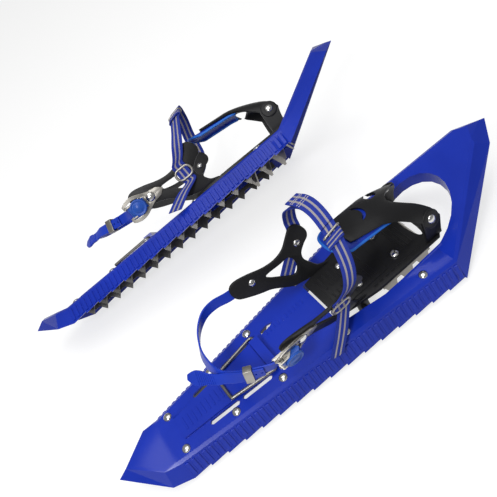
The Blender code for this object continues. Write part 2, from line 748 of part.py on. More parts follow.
def build_buckle_frame():
    """Metal fork: a base plate with a pointed front and two cheeks for the pin."""
    frame = buckle_frame_matrix()
    half = BUCKLE_HALF
    bm = bmesh.new()
    edge = half + 0.5
    plan = [(-BUCKLE_FRONT, 0), (-BUCKLE_FRONT + 10, -half * 0.7), (8, -edge), (BUCKLE_REAR, -edge),
            (BUCKLE_REAR, edge), (8, edge), (-BUCKLE_FRONT + 10, half * 0.7)]
    prism(bm, plan, 'Z', GAP, GAP + STEEL)
    set_in_frame(bm, frame)
    buckle = add_object('buckle', bm)
    for low in (-half, half - STEEL):
        cheek = bmesh.new()
        side = [(14, GAP + 0.2), (BUCKLE_REAR - 1, GAP + 0.2),
                (BUCKLE_REAR - 4, CHEEK_HEIGHT), (PIN_BACK - 9, CHEEK_HEIGHT)]
        prism(cheek, side, 'Y', low, low + STEEL)
        set_in_frame(cheek, frame)
        boolean(buckle, add_object('cheek', cheek), 'UNION')
    cuts = bmesh.new()
    cylinder(cuts, 'Y', (PIN_BACK, PIN_OUT), PIN_RADIUS + GAP, -half - 3, half + 3, 12)
    cylinder(cuts, 'Z', (0, 0), RIVET_SHANK + 1 + GAP, -3, 6, 12)
    set_in_frame(cuts, frame)
    boolean(buckle, add_object('cuts', cuts), 'DIFFERENCE')
    return buckle


def build_buckle_lever():
    """Ratchet lever between the cheeks, round behind its pin."""
    low = GAP + STEEL + STRAP_THICK + 2 * GAP
    reach = PIN_OUT - low
    tail = [(PIN_BACK + reach * math.cos(a), PIN_OUT + reach * math.sin(a))
            for a in (math.radians(-90 + 30 * k) for k in range(7))]
    outline = [(12, low + 0.6), (10, low + 4)] + [(14, PIN_OUT + reach + 1)] + tail[::-1]
    half = BUCKLE_HALF - STEEL - GAP
    bm = bmesh.new()
    prism(bm, outline, 'Y', -half, half)
    set_in_frame(bm, buckle_frame_matrix())
    lever = add_object('lever', bm)
    cuts = bmesh.new()
    cylinder(cuts, 'Y', (PIN_BACK, PIN_OUT), PIN_RADIUS + GAP, -half - 3, half + 3, 12)
    set_in_frame(cuts, buckle_frame_matrix())
    boolean(lever, add_object('cuts', cuts), 'DIFFERENCE')
    return lever


def build_buckle_pin():
    bm = bmesh.new()
    cylinder(bm, 'Y', (PIN_BACK, PIN_OUT), PIN_RADIUS, -BUCKLE_HALF - 1, BUCKLE_HALF + 1, 12)
    set_in_frame(bm, buckle_frame_matrix())
    return add_object('pin', bm)


def build_buckle_rivet():
    frame = buckle_frame_matrix()
    out = frame.col[2].xyz
    bm = bmesh.new()
    seat = frame.translation + out * (STEEL + 2 * GAP)
    rivet(bm, seat, out, STEEL + WING_THICK + 3 * GAP, RIVET_HEAD + 1.5, RIVET_DOME + 0.5, RIVET_SHANK + 1)
    return add_object('buckle_rivet', bm)


def buckle_point(back, out):
    return buckle_frame_matrix() @ Vector((back, 0, out))


def left_point(y, z, thickness):
    """Point on the outside of the left wing for the middle of a strap that lies on it."""
    frame = wing_frame(-1, y, z)
    return frame.translation + frame.col[2].xyz * (GAP + thickness / 2)


def heel_keys():
    """Middle line of the heel strap from the buckle to the left wing, its top leaning to the heel."""
    out = GAP + STEEL + GAP + STRAP_THICK / 2
    up = buckle_frame_matrix().col[1].xyz
    left_up = wing_frame(-1, 0, 0).col[1].xyz
    keys = [(buckle_point(back, out), up) for back in (20, 36, BUCKLE_REAR)]
    keys += [(over(1.13, -153, 43.6), (0.15, 0.1, 0.98)), (over(0.904, -179.5, 48), (-0.1, 0.3, 0.94)),
             (over(0.692, -198.5, 52), (-0.25, 0.45, 0.85)), (over(0.423, -210, 55.5), (-0.2, 0.5, 0.84)),
             (over(0, -213.5, 58.5), (-0.05, 0.5, 0.86)), (over(-0.462, -211, 60), (0.05, 0.42, 0.9)),
             (over(-0.981, -198, 61), (0.12, 0.25, 0.96)), (over(-1.337, -178, 60.5), (-0.05, 0.1, 1)),
             (over(-1.43, -157, 58.5), (-0.25, 0.03, 0.97))]
    return keys + [(left_point(y, z, STRAP_THICK), left_up) for y, z in ((-136, 57), (-112, 54), (-86, 50))]


def heel_frame(index):
    """Frame on the heel strap at a key: X along it, Y across it, Z out of its outer face."""
    keys = heel_keys()
    along = (keys[index + 1][0] - keys[index - 1][0]).normalized()
    across = Vector(keys[index][1]).normalized()
    out = across.cross(along).normalized()
    frame = Matrix((along, out.cross(along), out)).transposed().to_4x4()
    frame.translation = keys[index][0]
    return frame


def build_heel_strap():
    """Strap from inside the buckle round the heel to the left wing."""
    bm = bmesh.new()
    sheet(bm, strap_rows(heel_keys(), STRAP_WIDTH), STRAP_THICK)
    strap = add_object('heel_strap', bm)
    pierce(strap, 1)
    return strap


def build_pull_tab():
    """Tab that lies on the heel strap behind the buckle, then runs free and widens."""
    path = smooth_path([point for point, _ in heel_keys()])
    sides = smooth_path([Vector(across).normalized() for _, across in heel_keys()])
    keys = []
    for k in range(TAB_START, 3 * KEEPER_KEY + 5):
        out = sides[k].cross(path[k + 1] - path[k - 1]).normalized()
        keys.append((path[k] + out * (STRAP_THICK + 3 * GAP), sides[k]))
    keys += [(over(0.481, -217, 55), (-0.3, 0.55, 0.78)), (over(0.154, -233, 58.5), (-0.35, 0.6, 0.72)),
             (over(-0.096, -245, 61.5), (-0.35, 0.6, 0.72))]
    rows = strap_rows(keys, STRAP_WIDTH, 2)
    for row in rows[-4:]:
        grow = (row[1] - row[0]).normalized() * 3.0
        row[0] -= grow
        row[1] += grow
    bm = bmesh.new()
    sheet(bm, rows, STRAP_THICK)
    return add_object('pull_tab', bm)


def build_keeper():
    """Flat steel loop that holds the pull tab on the heel strap."""
    slack = 4 * GAP
    low, high = -STRAP_THICK / 2 - slack, STRAP_THICK * 1.5 + 3 * GAP + slack
    half = STRAP_WIDTH / 2 + slack
    wall = STEEL * 0.75
    frame = heel_frame(KEEPER_KEY)
    bm = bmesh.new()
    prism(bm, [(-half - wall, low - wall), (half + wall, low - wall),
               (half + wall, high + wall), (-half - wall, high + wall)], 'X', -KEEPER_HALF, KEEPER_HALF)
    set_in_frame(bm, frame)
    keeper = add_object('keeper', bm)
    hole = bmesh.new()
    prism(hole, [(-half, low), (half, low), (half, high), (-half, high)], 'X', -KEEPER_HALF - 4, KEEPER_HALF + 4)
    set_in_frame(hole, frame)
    boolean(keeper, add_object('hole', hole), 'DIFFERENCE')
    return keeper


def ring_path(frame, half, low, high, radius=4.0):
    """Rounded rectangle of wire in the plane of a frame."""
    corners = [(-half, low, 180), (half, low, 270), (half, high, 0), (-half, high, 90)]
    path = []
    for x, y, start in corners:
        cx, cy = x - math.copysign(radius, x), y + (radius if y == low else -radius)
        for k in range(3):
            angle = math.radians(start + 45 * k)
            path.append(frame @ Vector((cx + radius * math.cos(angle), cy + radius * math.sin(angle), 0)))
    return path


def ring_frame():
    """Frame of the wire ring outside the right wing, clear of the wing by the gap."""
    frame = wing_frame(1, -31, 40)
    frame.translation += frame.col[2].xyz * (WIRE + GAP)
    return frame


RING_HALF = WEB_WIDTH / 2 + 3
RING_REACH = 9.0


def build_ring():
    bm = bmesh.new()
    tube(bm, ring_path(ring_frame(), RING_HALF, -RING_REACH, RING_REACH), WIRE, 8, True)
    return add_object('ring', bm)


def web_end(offset):
    """Point of the webbing in the plane of the wire ring, above or below its middle."""
    return ring_frame() @ Vector((0, offset, 0))


def instep_keys():
    """Webbing from the outside of the left wing over the instep to the wire ring."""
    clear = RING_REACH + WIRE + 2 * GAP
    frame = wing_frame(-1, 0, 0)
    back, up = frame.col[0].xyz, frame.col[1].xyz
    slant = (up * 0.55 + back * 0.84).normalized()
    keys = [(left_point(y, z, WEB_THICK), slant) for y, z in ((-58, 17), (-34, 35), (-10, 52))]
    keys.append((left_point(0, 70, WEB_THICK), slant + back * 0.4))
    keys.append((left_point(3, 82, WEB_THICK), (0, -1, 0.3)))
    keys += [(over(-1.385, 8, 108), (0, -1, 0.1)), (over(-0.962, 16, 128), (0, -1, -0.1)),
             (over(-0.462, 20, 141), (0, -1, -0.2)), (over(0.115, 19, 137), (0, -1, -0.2)),
             (over(0.692, 12, 122), (0, -1, -0.25)), (over(1.154, 2, 100), (0, -1, -0.2)),
             (over(1.346, -10, 80), (0, -1, 0)), (over(1.269, -22, 64), (0, -1, 0))]
    keys.append((web_end(clear + 6), (0, -1, 0)))
    keys.append((web_end(clear), (0, -1, 0)))
    return keys


def build_instep_strap():
    bm = bmesh.new()
    sheet(bm, strap_rows(instep_keys(), WEB_WIDTH), WEB_THICK)
    strap = add_object('instep_strap', bm)
    pierce(strap, 0)
    return strap


def build_slider():
    """Wire loop that the webbing passes through near the top of its arch."""
    rows = strap_rows(instep_keys(), WEB_WIDTH)
    low, here, high = rows[25:28]
    middle = (here[0] + here[1]) / 2
    across = (here[1] - here[0]).normalized()
    along = (high[0] + high[1] - low[0] - low[1]).normalized()
    frame = Matrix((across, along.cross(across).normalized(), along)).transposed().to_4x4()
    frame.translation = middle
    bm = bmesh.new()
    half = WEB_WIDTH / 2 + WIRE + 2 * GAP
    depth = WEB_THICK / 2 + WIRE + 3 * GAP
    path = ring_path(frame, half, -depth, depth, depth * 0.9)
    tube(bm, path, WIRE, 8, True)
    return add_object('slider', bm)


def build_strap_tail():
    clear = RING_REACH + WIRE + 2 * GAP
    out = ring_frame().col[2].xyz
    keys = [(web_end(-clear), (0, 1, 0)), (web_end(-clear - 6) + out, (0, 1, -0.1)),
            (over(1.346, -52, 12), (0, 1, -0.3)), (over(1.615, -78, -4), (0, 1, -0.35))]
    bm = bmesh.new()
    sheet(bm, strap_rows(keys, WEB_WIDTH), WEB_THICK)
    return add_object('strap_tail', bm)


def build_bail():
    """Wire bail lying on the tongue, its ends turned into the socket block."""
    z = DECK_TOP + bail_height()
    rear = BAIL_Y - BAIL_REACH
    inner = BLOCK_HALF - 5
    right = [(inner, BAIL_Y, z), (BAIL_FRONT_HALF - 4, BAIL_Y, z), (BAIL_FRONT_HALF - 1, BAIL_Y - 1, z),
             (BAIL_FRONT_HALF, BAIL_Y - 4, z), (BAIL_REAR_HALF + 1, rear + 5, z),
             (BAIL_REAR_HALF - 1, rear + 1.5, z), (BAIL_REAR_HALF - 4, rear, z)]
    bm = bmesh.new()
    tube(bm, right + [(-x, y, h) for x, y, h in reversed(right)], BAIL_RADIUS, 8)
    return add_object('bail', bm)


def material(name, colour, roughness, metallic=0.0):
    mat = bpy.data.materials.new(name)
    mat.use_nodes = True
    shader = mat.node_tree.nodes['Principled BSDF']
    shader.inputs['Base Color'].default_value = (*colour, 1.0)
    shader.inputs['Roughness'].default_value = roughness
    shader.inputs['Metallic'].default_value = metallic
    return mat


def make_pieces():
    """Every piece of one shoe: name, object, material and the part of the shoe it moves with."""
    blue = material('deck_blue', (0.015, 0.035, 0.45), 0.35)
    black = material('binding_black', (0.012, 0.012, 0.013), 0.5)
    steel = material('steel', (0.55, 0.54, 0.52), 0.35, 1.0)
    strap = material('strap_blue', (0.015, 0.06, 0.5), 0.45)
    web = material('webbing', (0.02, 0.05, 0.42), 0.9)
    return [
        ('deck', build_deck(), blue, 'shoe'),
        ('traction_rail_left', build_rail(-1), steel, 'shoe'),
        ('traction_rail_right', build_rail(1), steel, 'shoe'),
        ('pivot_axle', build_axle(), steel, 'shoe'),
        ('heel_lift_bail', build_bail(), steel, 'bail'),
        ('binding_plate', build_plate(), black, 'binding'),
        ('toe_crampon', build_crampon(), steel, 'binding'),
        ('plate_rivet_left', build_plate_rivet(0), steel, 'binding'),
        ('plate_rivet_right', build_plate_rivet(1), steel, 'binding'),
        ('toe_cradle', build_toe_band(), black, 'binding'),
        ('toe_liner', build_toe_liner(), strap, 'binding'),
        ('toe_rivet_left', build_toe_rivet(-1), steel, 'binding'),
        ('toe_rivet_right', build_toe_rivet(1), steel, 'binding'),
        ('heel_wing_left', build_wing(-1), black, 'binding'),
        ('heel_wing_right', build_wing(1), black, 'binding'),
        ('wing_rivet_front', build_wing_rivet(0), steel, 'binding'),
        ('wing_rivet_rear', build_wing_rivet(1), steel, 'binding'),
        ('heel_strap', build_heel_strap(), strap, 'binding'),
        ('pull_tab', build_pull_tab(), strap, 'binding'),
        ('strap_keeper', build_keeper(), steel, 'binding'),
        ('buckle_frame', build_buckle_frame(), steel, 'binding'),
        ('buckle_rivet', build_buckle_rivet(), steel, 'binding'),
        ('buckle_pin', build_buckle_pin(), steel, 'binding'),
        ('buckle_lever', build_buckle_lever(), strap, 'lever'),
        ('wire_ring', build_ring(), steel, 'binding'),
        ('strap_slider', build_slider(), steel, 'binding'),
        ('instep_strap', build_instep_strap(), web, 'binding'),
        ('strap_tail', build_strap_tail(), web, 'binding'),
    ]


def pivots():
    """Joint points of one shoe and what each is carried by."""
    return {
        'shoe': (Vector((0, 0, 0)), None),
        'binding': (Vector((0, PIVOT_Y, PLATE_TOP - AXLE_DROP)), 'shoe'),
        'bail': (Vector((0, BAIL_Y, DECK_TOP + bail_height())), 'shoe'),
        'lever': (buckle_point(PIN_BACK, PIN_OUT), 'binding'),
    }


def place_shoe(prefix, pieces, parent, matrix, reuse):
    """Set one shoe's pieces under empties that stand on their joint axes."""
    empties = {}
    points = pivots()
    for part, (point, carrier) in points.items():
        empty = link(prefix + part + '_pivot', None)
        empty.empty_display_size = 0.03
        if carrier is None:
            empty.parent = parent
            empty.matrix_local = matrix
        else:
            empty.parent = empties[carrier]
            empty.location = (point - points[carrier][0]) * MM
        empties[part] = empty
    for name, obj, mat, part in pieces:
        if reuse:
            obj = link(prefix + name, obj.data)
        else:
            obj.data.materials.clear()
            obj.data.materials.append(mat)
            obj.name = prefix + name
            obj.data.name = name
        obj.parent = empties[part]
        obj.location = -points[part][0] * MM


def rear_matrix():
    """Tip the rear shoe about its left rim, which stays level on the floor."""
    rim_turn = math.atan2(RIM_FRONT - RIM_TAIL, FRONT_BEND - TAIL_BEND)
    turn = Matrix.Rotation(HEADING, 4, 'Z') @ Matrix.Rotation(-TIP_ANGLE, 4, 'Y')
    turn = turn @ Matrix.Rotation(-rim_turn, 4, 'Z')
    middle = (TAIL_BEND + FRONT_BEND) / 2
    rim = turn @ Vector((-rim_half(middle), middle, 0))
    floor = Vector((REAR_RIM_X, middle + REAR_SHIFT_Y, -TOOTH_DROP))
    return Matrix.Translation((floor - rim) * MM) @ turn


def centre_pair(root):
    """Stand the pair on the ground plane with the middle of its box over the origin."""
    bpy.context.view_layer.update()
    pieces = [obj for obj in bpy.data.objects if obj.type == 'MESH']
    corners = [obj.matrix_world @ v.co for obj in pieces for v in obj.data.vertices]
    low = Vector([min(c[i] for c in corners) for i in range(3)])
    high = Vector([max(c[i] for c in corners) for i in range(3)])
    root.location = (-(low.x + high.x) / 2, -(low.y + high.y) / 2, -low.z)


clear_scene()
pair = link('pair_origin', None)
shoe_pieces = make_pieces()
place_shoe('front_', shoe_pieces, pair, Matrix.Identity(4), False)
place_shoe('rear_', shoe_pieces, pair, rear_matrix(), True)
centre_pair(pair)
bpy.context.view_layer.update()
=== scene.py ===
# %% [markdown]
# # A pair of moulded snowshoes
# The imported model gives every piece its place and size. This lesson dresses it: it rounds the
# moulded edges, weaves the straps and gives each material its own nodes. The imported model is
# loaded first and stays fixed, so every new piece is set where the real one is.

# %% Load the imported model
import json
import math

import bmesh
import bpy
from mathutils import Matrix, Vector


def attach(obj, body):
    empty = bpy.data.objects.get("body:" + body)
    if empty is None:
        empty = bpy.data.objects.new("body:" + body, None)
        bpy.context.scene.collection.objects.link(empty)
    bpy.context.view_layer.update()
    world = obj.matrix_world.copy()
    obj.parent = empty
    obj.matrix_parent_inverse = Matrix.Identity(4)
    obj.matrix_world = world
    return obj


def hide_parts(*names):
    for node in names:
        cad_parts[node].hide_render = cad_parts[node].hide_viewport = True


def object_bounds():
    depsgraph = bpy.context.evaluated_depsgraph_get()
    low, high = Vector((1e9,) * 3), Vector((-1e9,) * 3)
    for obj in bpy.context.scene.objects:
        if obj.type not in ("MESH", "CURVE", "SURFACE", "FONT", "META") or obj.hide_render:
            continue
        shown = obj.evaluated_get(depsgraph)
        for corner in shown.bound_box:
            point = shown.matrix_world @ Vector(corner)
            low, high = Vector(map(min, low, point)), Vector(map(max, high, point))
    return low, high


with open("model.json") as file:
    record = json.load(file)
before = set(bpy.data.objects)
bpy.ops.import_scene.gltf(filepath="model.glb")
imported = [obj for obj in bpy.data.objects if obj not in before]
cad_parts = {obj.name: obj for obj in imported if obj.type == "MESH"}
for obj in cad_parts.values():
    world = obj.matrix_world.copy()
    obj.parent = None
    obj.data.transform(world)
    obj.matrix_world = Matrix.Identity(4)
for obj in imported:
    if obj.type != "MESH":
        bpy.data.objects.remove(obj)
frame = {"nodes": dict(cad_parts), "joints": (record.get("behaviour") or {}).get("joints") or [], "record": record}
cad_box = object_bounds()

# %% [markdown]
# ## One frame per shoe
# Both shoes are the same moulding, one lying flat and one tipped on its rim. Each piece is
# therefore modelled once, in millimetres, with X to the right, Y to the nose and Z up from the
# foot of the side skirts. The hinge of the binding and the flat boot bed say where that frame
# stands in the scene, so nothing has to be fitted by eye.

# %% Shoe frames
joints = {joint["name"]: joint for joint in frame["joints"]}
mounts = {mount["name"]: mount for mount in frame["record"]["mounts"]}
PIVOT = Vector((0, 345, 18))


def shoe_matrix(prefix):
    """Takes millimetres on one shoe to metres in the scene."""
    hinge = joints[prefix + "binding_pivot"]
    across = -Vector(hinge["axis"]).normalized()
    up = Vector(mounts[prefix + "boot_bed"]["axis"]).normalized()
    turn = Matrix((across, up.cross(across), up)).transposed()
    foot = Vector(hinge["pos_m"]) - turn @ PIVOT * 0.001
    return Matrix.Translation(foot) @ turn.to_4x4() @ Matrix.Scale(0.001, 4)


shoes = {prefix: shoe_matrix(prefix) for prefix in ("front_", "rear_")}
for prefix, matrix in shoes.items():
    print(prefix, "stands at", [round(x, 3) for x in matrix.translation])

# %% [markdown]
# ## Camera
# The photograph looks down on the flat shoe from its right side. The eye point and the three
# camera directions below were fitted to that shoe, so they are given in its own frame. A lens
# of 43.9 mm on a 36 mm sensor gives the same perspective in a square picture.

# %% Camera
EYE = Vector((512.83, 207.73, 733.43))
LOOK = Matrix(((0.50999, 0.75254, -0.41664), (-0.50112, 0.65361, 0.56716), (0.69914, -0.08045, 0.71045)))
camera_data = bpy.data.cameras.new("photo_camera")
camera_data.sensor_fit = 'HORIZONTAL'
camera_data.sensor_width = 36
camera_data.lens = 43.914
camera_data.clip_start = 0.01
camera_data.clip_end = 50
camera = bpy.data.objects.new("photo_camera", camera_data)
bpy.context.scene.collection.objects.link(camera)
stand = shoes["front_"]
turn = stand.to_3x3().normalized() @ LOOK.transposed()
camera.matrix_world = Matrix.Translation(stand @ EYE) @ turn.to_4x4()
bpy.context.scene.camera = camera
print("camera at", [round(x, 3) for x in camera.location])

# %% [markdown]
# ## Shared surface effects
# Moulded plastic, steel and webbing all have some fine texture and some change of tone. Each of
# these effects is a node group that is built once and placed in several materials with other
# values. A small helper adds a node and fills in its sockets, which keeps the trees readable.

# %% Node helpers
def add_node(tree, kind, sockets=None, **settings):
    made = tree.nodes.new(kind)
    for key, value in settings.items():
        setattr(made, key, value)
    for key, value in (sockets or {}).items():
        made.inputs[key].default_value = value
    return made


def new_group(name, inputs, outputs):
    group = bpy.data.node_groups.new(name, 'ShaderNodeTree')
    for socket, value in inputs.items():
        made = group.interface.new_socket(socket, in_out='INPUT', socket_type='NodeSocketFloat')
        made.default_value = value
    for socket in outputs:
        group.interface.new_socket(socket, in_out='OUTPUT', socket_type='NodeSocketFloat')
    return group, group.nodes.new('NodeGroupInput'), group.nodes.new('NodeGroupOutput')


def math_node(tree, operation, first, second):
    made = add_node(tree, 'ShaderNodeMath', operation=operation)
    for socket, value in zip(made.inputs, (first, second)):
        if hasattr(value, "is_output"):
            tree.links.new(value, socket)
        else:
            socket.default_value = value
    return made.outputs[0]


print("helpers for nodes ready")

# %% [markdown]
# ## Moulded grain
# Injection moulds are spark-eroded, which leaves a fine even grain, and large mouldings cool
# unevenly, which shows as a slow change of tone. One noise texture gives the grain for a Bump
# node and a second, much larger one gives the tone.

# %% Grain group
def make_grain():
    group, given, result = new_group("moulded_grain", {"Grain": 1500.0, "Patch": 9.0}, ["Height", "Tone"])
    place = add_node(group, 'ShaderNodeTexCoord')
    fine = add_node(group, 'ShaderNodeTexNoise', {"Detail": 2.0})
    broad = add_node(group, 'ShaderNodeTexNoise', {"Detail": 3.0})
    for noise, socket in ((fine, "Grain"), (broad, "Patch")):
        group.links.new(place.outputs["Object"], noise.inputs["Vector"])
        group.links.new(given.outputs[socket], noise.inputs["Scale"])
    group.links.new(fine.outputs["Fac"], result.inputs["Height"])
    group.links.new(broad.outputs["Fac"], result.inputs["Tone"])
    return group


grain_group = make_grain()
print("group", grain_group.name)

# %% [markdown]
# ## Scuffs
# Handling leaves fine marks that run one way. A noise texture that is squeezed along one axis
# gives streaks, and a second noise keeps them to patches. The group gives a mask from 0 to 1
# that a material can use to lift the roughness or pale the colour.

# %% Scuff group
def make_scuffs():
    group, given, result = new_group("scuffs", {"Scale": 60.0, "Spread": 0.5}, ["Mask"])
    place = add_node(group, 'ShaderNodeTexCoord')
    squeeze = add_node(group, 'ShaderNodeMapping', {"Rotation": (0.3, 0.2, 0.7), "Scale": (1.0, 9.0, 1.0)})
    streaks = add_node(group, 'ShaderNodeTexNoise', {"Detail": 4.0})
    patches = add_node(group, 'ShaderNodeTexNoise', {"Scale": 14.0, "Detail": 2.0})
    group.links.new(place.outputs["Object"], squeeze.inputs["Vector"])
    group.links.new(squeeze.outputs["Vector"], streaks.inputs["Vector"])
    group.links.new(place.outputs["Object"], patches.inputs["Vector"])
    group.links.new(given.outputs["Scale"], streaks.inputs["Scale"])
    both = math_node(group, 'MULTIPLY', streaks.outputs["Fac"], patches.outputs["Fac"])
    ramp = add_node(group, 'ShaderNodeMapRange', {"From Min": 0.28, "From Max": 0.5})
    group.links.new(both, ramp.inputs["Value"])
    group.links.new(math_node(group, 'MULTIPLY', ramp.outputs["Result"], given.outputs["Spread"]),
                    result.inputs["Mask"])
    return group


scuff_group = make_scuffs()
print("group", scuff_group.name)

# %% [markdown]
# ## Weave
# Webbing is woven from thick yarns that lie along the strap and cross over each other. Two
# banded wave textures on the strap's own UV map, one along and one across, give the rounded
# yarns. The UV map counts in strap widths, so one value sets the number of yarns.

# %% Weave group
def make_weave():
    group, given, result = new_group("weave", {"Yarns": 12.0}, ["Height"])
    place = add_node(group, 'ShaderNodeTexCoord')
    scale = add_node(group, 'ShaderNodeVectorMath', operation='SCALE')
    group.links.new(place.outputs["UV"], scale.inputs[0])
    group.links.new(given.outputs["Yarns"], scale.inputs["Scale"])
    heights = []
    for direction in ('X', 'Y'):
        wave = add_node(group, 'ShaderNodeTexWave', {"Scale": 0.3183}, bands_direction=direction)
        group.links.new(scale.outputs["Vector"], wave.inputs["Vector"])
        heights.append(wave.outputs["Fac"])
    group.links.new(math_node(group, 'MULTIPLY', *heights), result.inputs["Height"])
    return group


weave_group = make_weave()
print("group", weave_group.name)

# %% [markdown]
# ## Moulded plastics
# Deck, binding, lever and ratchet straps are all plastic: a Principled shader with a base colour
# that drifts a little, a roughness that rises where it is scuffed, and the grain as bump. Only
# the colours, the gloss and the depth of the grain differ, so one function makes them all.

# %% Plastics
def start_material(name, roughness, metallic):
    material = bpy.data.materials.new(name)
    material.use_nodes = True
    shader = material.node_tree.nodes["Principled BSDF"]
    shader.inputs["Roughness"].default_value = roughness
    shader.inputs["Metallic"].default_value = metallic
    return material, material.node_tree, shader


def use_group(tree, group, **values):
    made = add_node(tree, 'ShaderNodeGroup', node_tree=group)
    for key, value in values.items():
        made.inputs[key].default_value = value
    return made


def bump(tree, shader, height, strength, distance):
    made = add_node(tree, 'ShaderNodeBump', {"Strength": strength, "Distance": distance})
    tree.links.new(height, made.inputs["Height"])
    tree.links.new(made.outputs["Normal"], shader.inputs["Normal"])


def plastic(name, dark, light, smooth, rough, grain_depth, grain=1500.0, shine=0.3):
    material, tree, shader = start_material(name, smooth, 0.0)
    shader.inputs["Specular IOR Level"].default_value = shine
    texture = use_group(tree, grain_group, Grain=grain)
    marks = use_group(tree, scuff_group)
    tone = add_node(tree, 'ShaderNodeMapRange', {"From Min": 0.35, "From Max": 0.65})
    tree.links.new(texture.outputs["Tone"], tone.inputs["Value"])
    colour = add_node(tree, 'ShaderNodeMix', {"A": (*dark, 1), "B": (*light, 1)}, data_type='RGBA')
    tree.links.new(tone.outputs["Result"], colour.inputs["Factor"])
    tree.links.new(colour.outputs["Result"], shader.inputs["Base Color"])
    gloss = add_node(tree, 'ShaderNodeMapRange', {"To Min": smooth, "To Max": rough})
    tree.links.new(marks.outputs["Mask"], gloss.inputs["Value"])
    tree.links.new(gloss.outputs["Result"], shader.inputs["Roughness"])
    bump(tree, shader, texture.outputs["Height"], grain_depth, 0.0002)
    return material


deck_blue = plastic("deck_blue", (0.006, 0.027, 0.37), (0.009, 0.035, 0.45), 0.24, 0.30, 0.06)
binding_black = plastic("binding_black", (0.008, 0.008, 0.009), (0.013, 0.013, 0.014), 0.42, 0.6, 0.35, 2200.0)
strap_blue = plastic("strap_blue", (0.008, 0.036, 0.42), (0.013, 0.05, 0.52), 0.34, 0.5, 0.15)
lever_blue = plastic("lever_blue", (0.02, 0.085, 0.43), (0.03, 0.12, 0.52), 0.28, 0.42, 0.12)
piping_blue = plastic("piping_blue", (0.015, 0.14, 0.62), (0.03, 0.19, 0.72), 0.45, 0.6, 0.2)
thread_grey = plastic("thread_grey", (0.44, 0.41, 0.42), (0.56, 0.53, 0.54), 0.7, 0.85, 0.4, 2600.0)
print("plastics", [m.name for m in (deck_blue, binding_black, strap_blue, lever_blue, piping_blue, thread_grey)])

# %% [markdown]
# ## Steels
# The rails, claws and wires are plain steel, stamped and slightly brushed, and the rivet heads
# are brighter because their dies are polished. Streaks vary the roughness and the tone, so the
# metal doesn't look like a mirror cut from one sheet.

# %% Steels
def steel(name, dark, light, smooth, rough, depth):
    material, tree, shader = start_material(name, smooth, 1.0)
    marks = use_group(tree, scuff_group, Scale=180.0, Spread=1.0)
    texture = use_group(tree, grain_group, Grain=3000.0, Patch=40.0)
    colour = add_node(tree, 'ShaderNodeMix', {"A": (*dark, 1), "B": (*light, 1)}, data_type='RGBA')
    tree.links.new(texture.outputs["Tone"], colour.inputs["Factor"])
    tree.links.new(colour.outputs["Result"], shader.inputs["Base Color"])
    gloss = add_node(tree, 'ShaderNodeMapRange', {"To Min": smooth, "To Max": rough})
    tree.links.new(marks.outputs["Mask"], gloss.inputs["Value"])
    tree.links.new(gloss.outputs["Result"], shader.inputs["Roughness"])
    bump(tree, shader, texture.outputs["Height"], depth, 0.0001)
    return material


plain_steel = steel("plain_steel", (0.32, 0.305, 0.275), (0.44, 0.42, 0.385), 0.4, 0.56, 0.15)
rail_steel = steel("rail_steel", (0.085, 0.082, 0.078), (0.15, 0.145, 0.14), 0.45, 0.62, 0.2)
wire_steel = steel("wire_steel", (0.22, 0.21, 0.19), (0.32, 0.31, 0.29), 0.36, 0.46, 0.02)
rivet_steel = steel("rivet_steel", (0.58, 0.58, 0.56), (0.72, 0.71, 0.69), 0.2, 0.32, 0.05)
print("steels", [m.name for m in (plain_steel, rail_steel, wire_steel, rivet_steel)])

# %% [markdown]
# ## Webbing
# The webbing is blue with two light stripes woven in. The stripes run along the strap, so they
# come from the UV map: the distance from the strap's middle line, compared with the stripes'
# inner and outer edge, gives a mask that mixes blue yarn and grey yarn.

# %% Webbing
def webbing_material(name, blue, stripe):
    material, tree, shader = start_material(name, 0.85, 0.0)
    place = add_node(tree, 'ShaderNodeTexCoord')
    parts = add_node(tree, 'ShaderNodeSeparateXYZ')
    tree.links.new(place.outputs["UV"], parts.inputs["Vector"])
    offset = math_node(tree, 'ABSOLUTE', math_node(tree, 'SUBTRACT', parts.outputs["X"], 0.5), 0.0)
    mask = math_node(tree, 'MULTIPLY', math_node(tree, 'GREATER_THAN', offset, 0.12),
                     math_node(tree, 'LESS_THAN', offset, 0.25))
    threads = use_group(tree, weave_group, Yarns=14.0)
    colour = add_node(tree, 'ShaderNodeMix', {"A": (*blue, 1), "B": (*stripe, 1)}, data_type='RGBA')
    tree.links.new(mask, colour.inputs["Factor"])
    # painted shade and painted highlight: the weave's height darkens the colour in the gaps between the yarns and
    # lightens it on their crowns, besides driving the bump
    shade = add_node(tree, 'ShaderNodeMapRange', {"To Min": 0.55, "To Max": 1.15})
    tree.links.new(threads.outputs["Height"], shade.inputs["Value"])
    shaded = add_node(tree, 'ShaderNodeMix', {"Factor": 1.0}, data_type='RGBA', blend_type='MULTIPLY')
    tree.links.new(colour.outputs["Result"], shaded.inputs["A"])
    tree.links.new(shade.outputs["Result"], shaded.inputs["B"])
    tree.links.new(shaded.outputs["Result"], shader.inputs["Base Color"])
    bump(tree, shader, threads.outputs["Height"], 0.6, 0.0006)
    return material


webbing = webbing_material("webbing", (0.016, 0.045, 0.46), (0.52, 0.48, 0.5))
print("webbing", webbing.name)

# %% [markdown]
# ## Placing a piece on both shoes
# A finished bmesh is copied once for each shoe, moved into the scene by that shoe's matrix and
# stored at the origin. The new object rides on the body that carries the real piece, and where
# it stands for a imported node, that node is hidden.

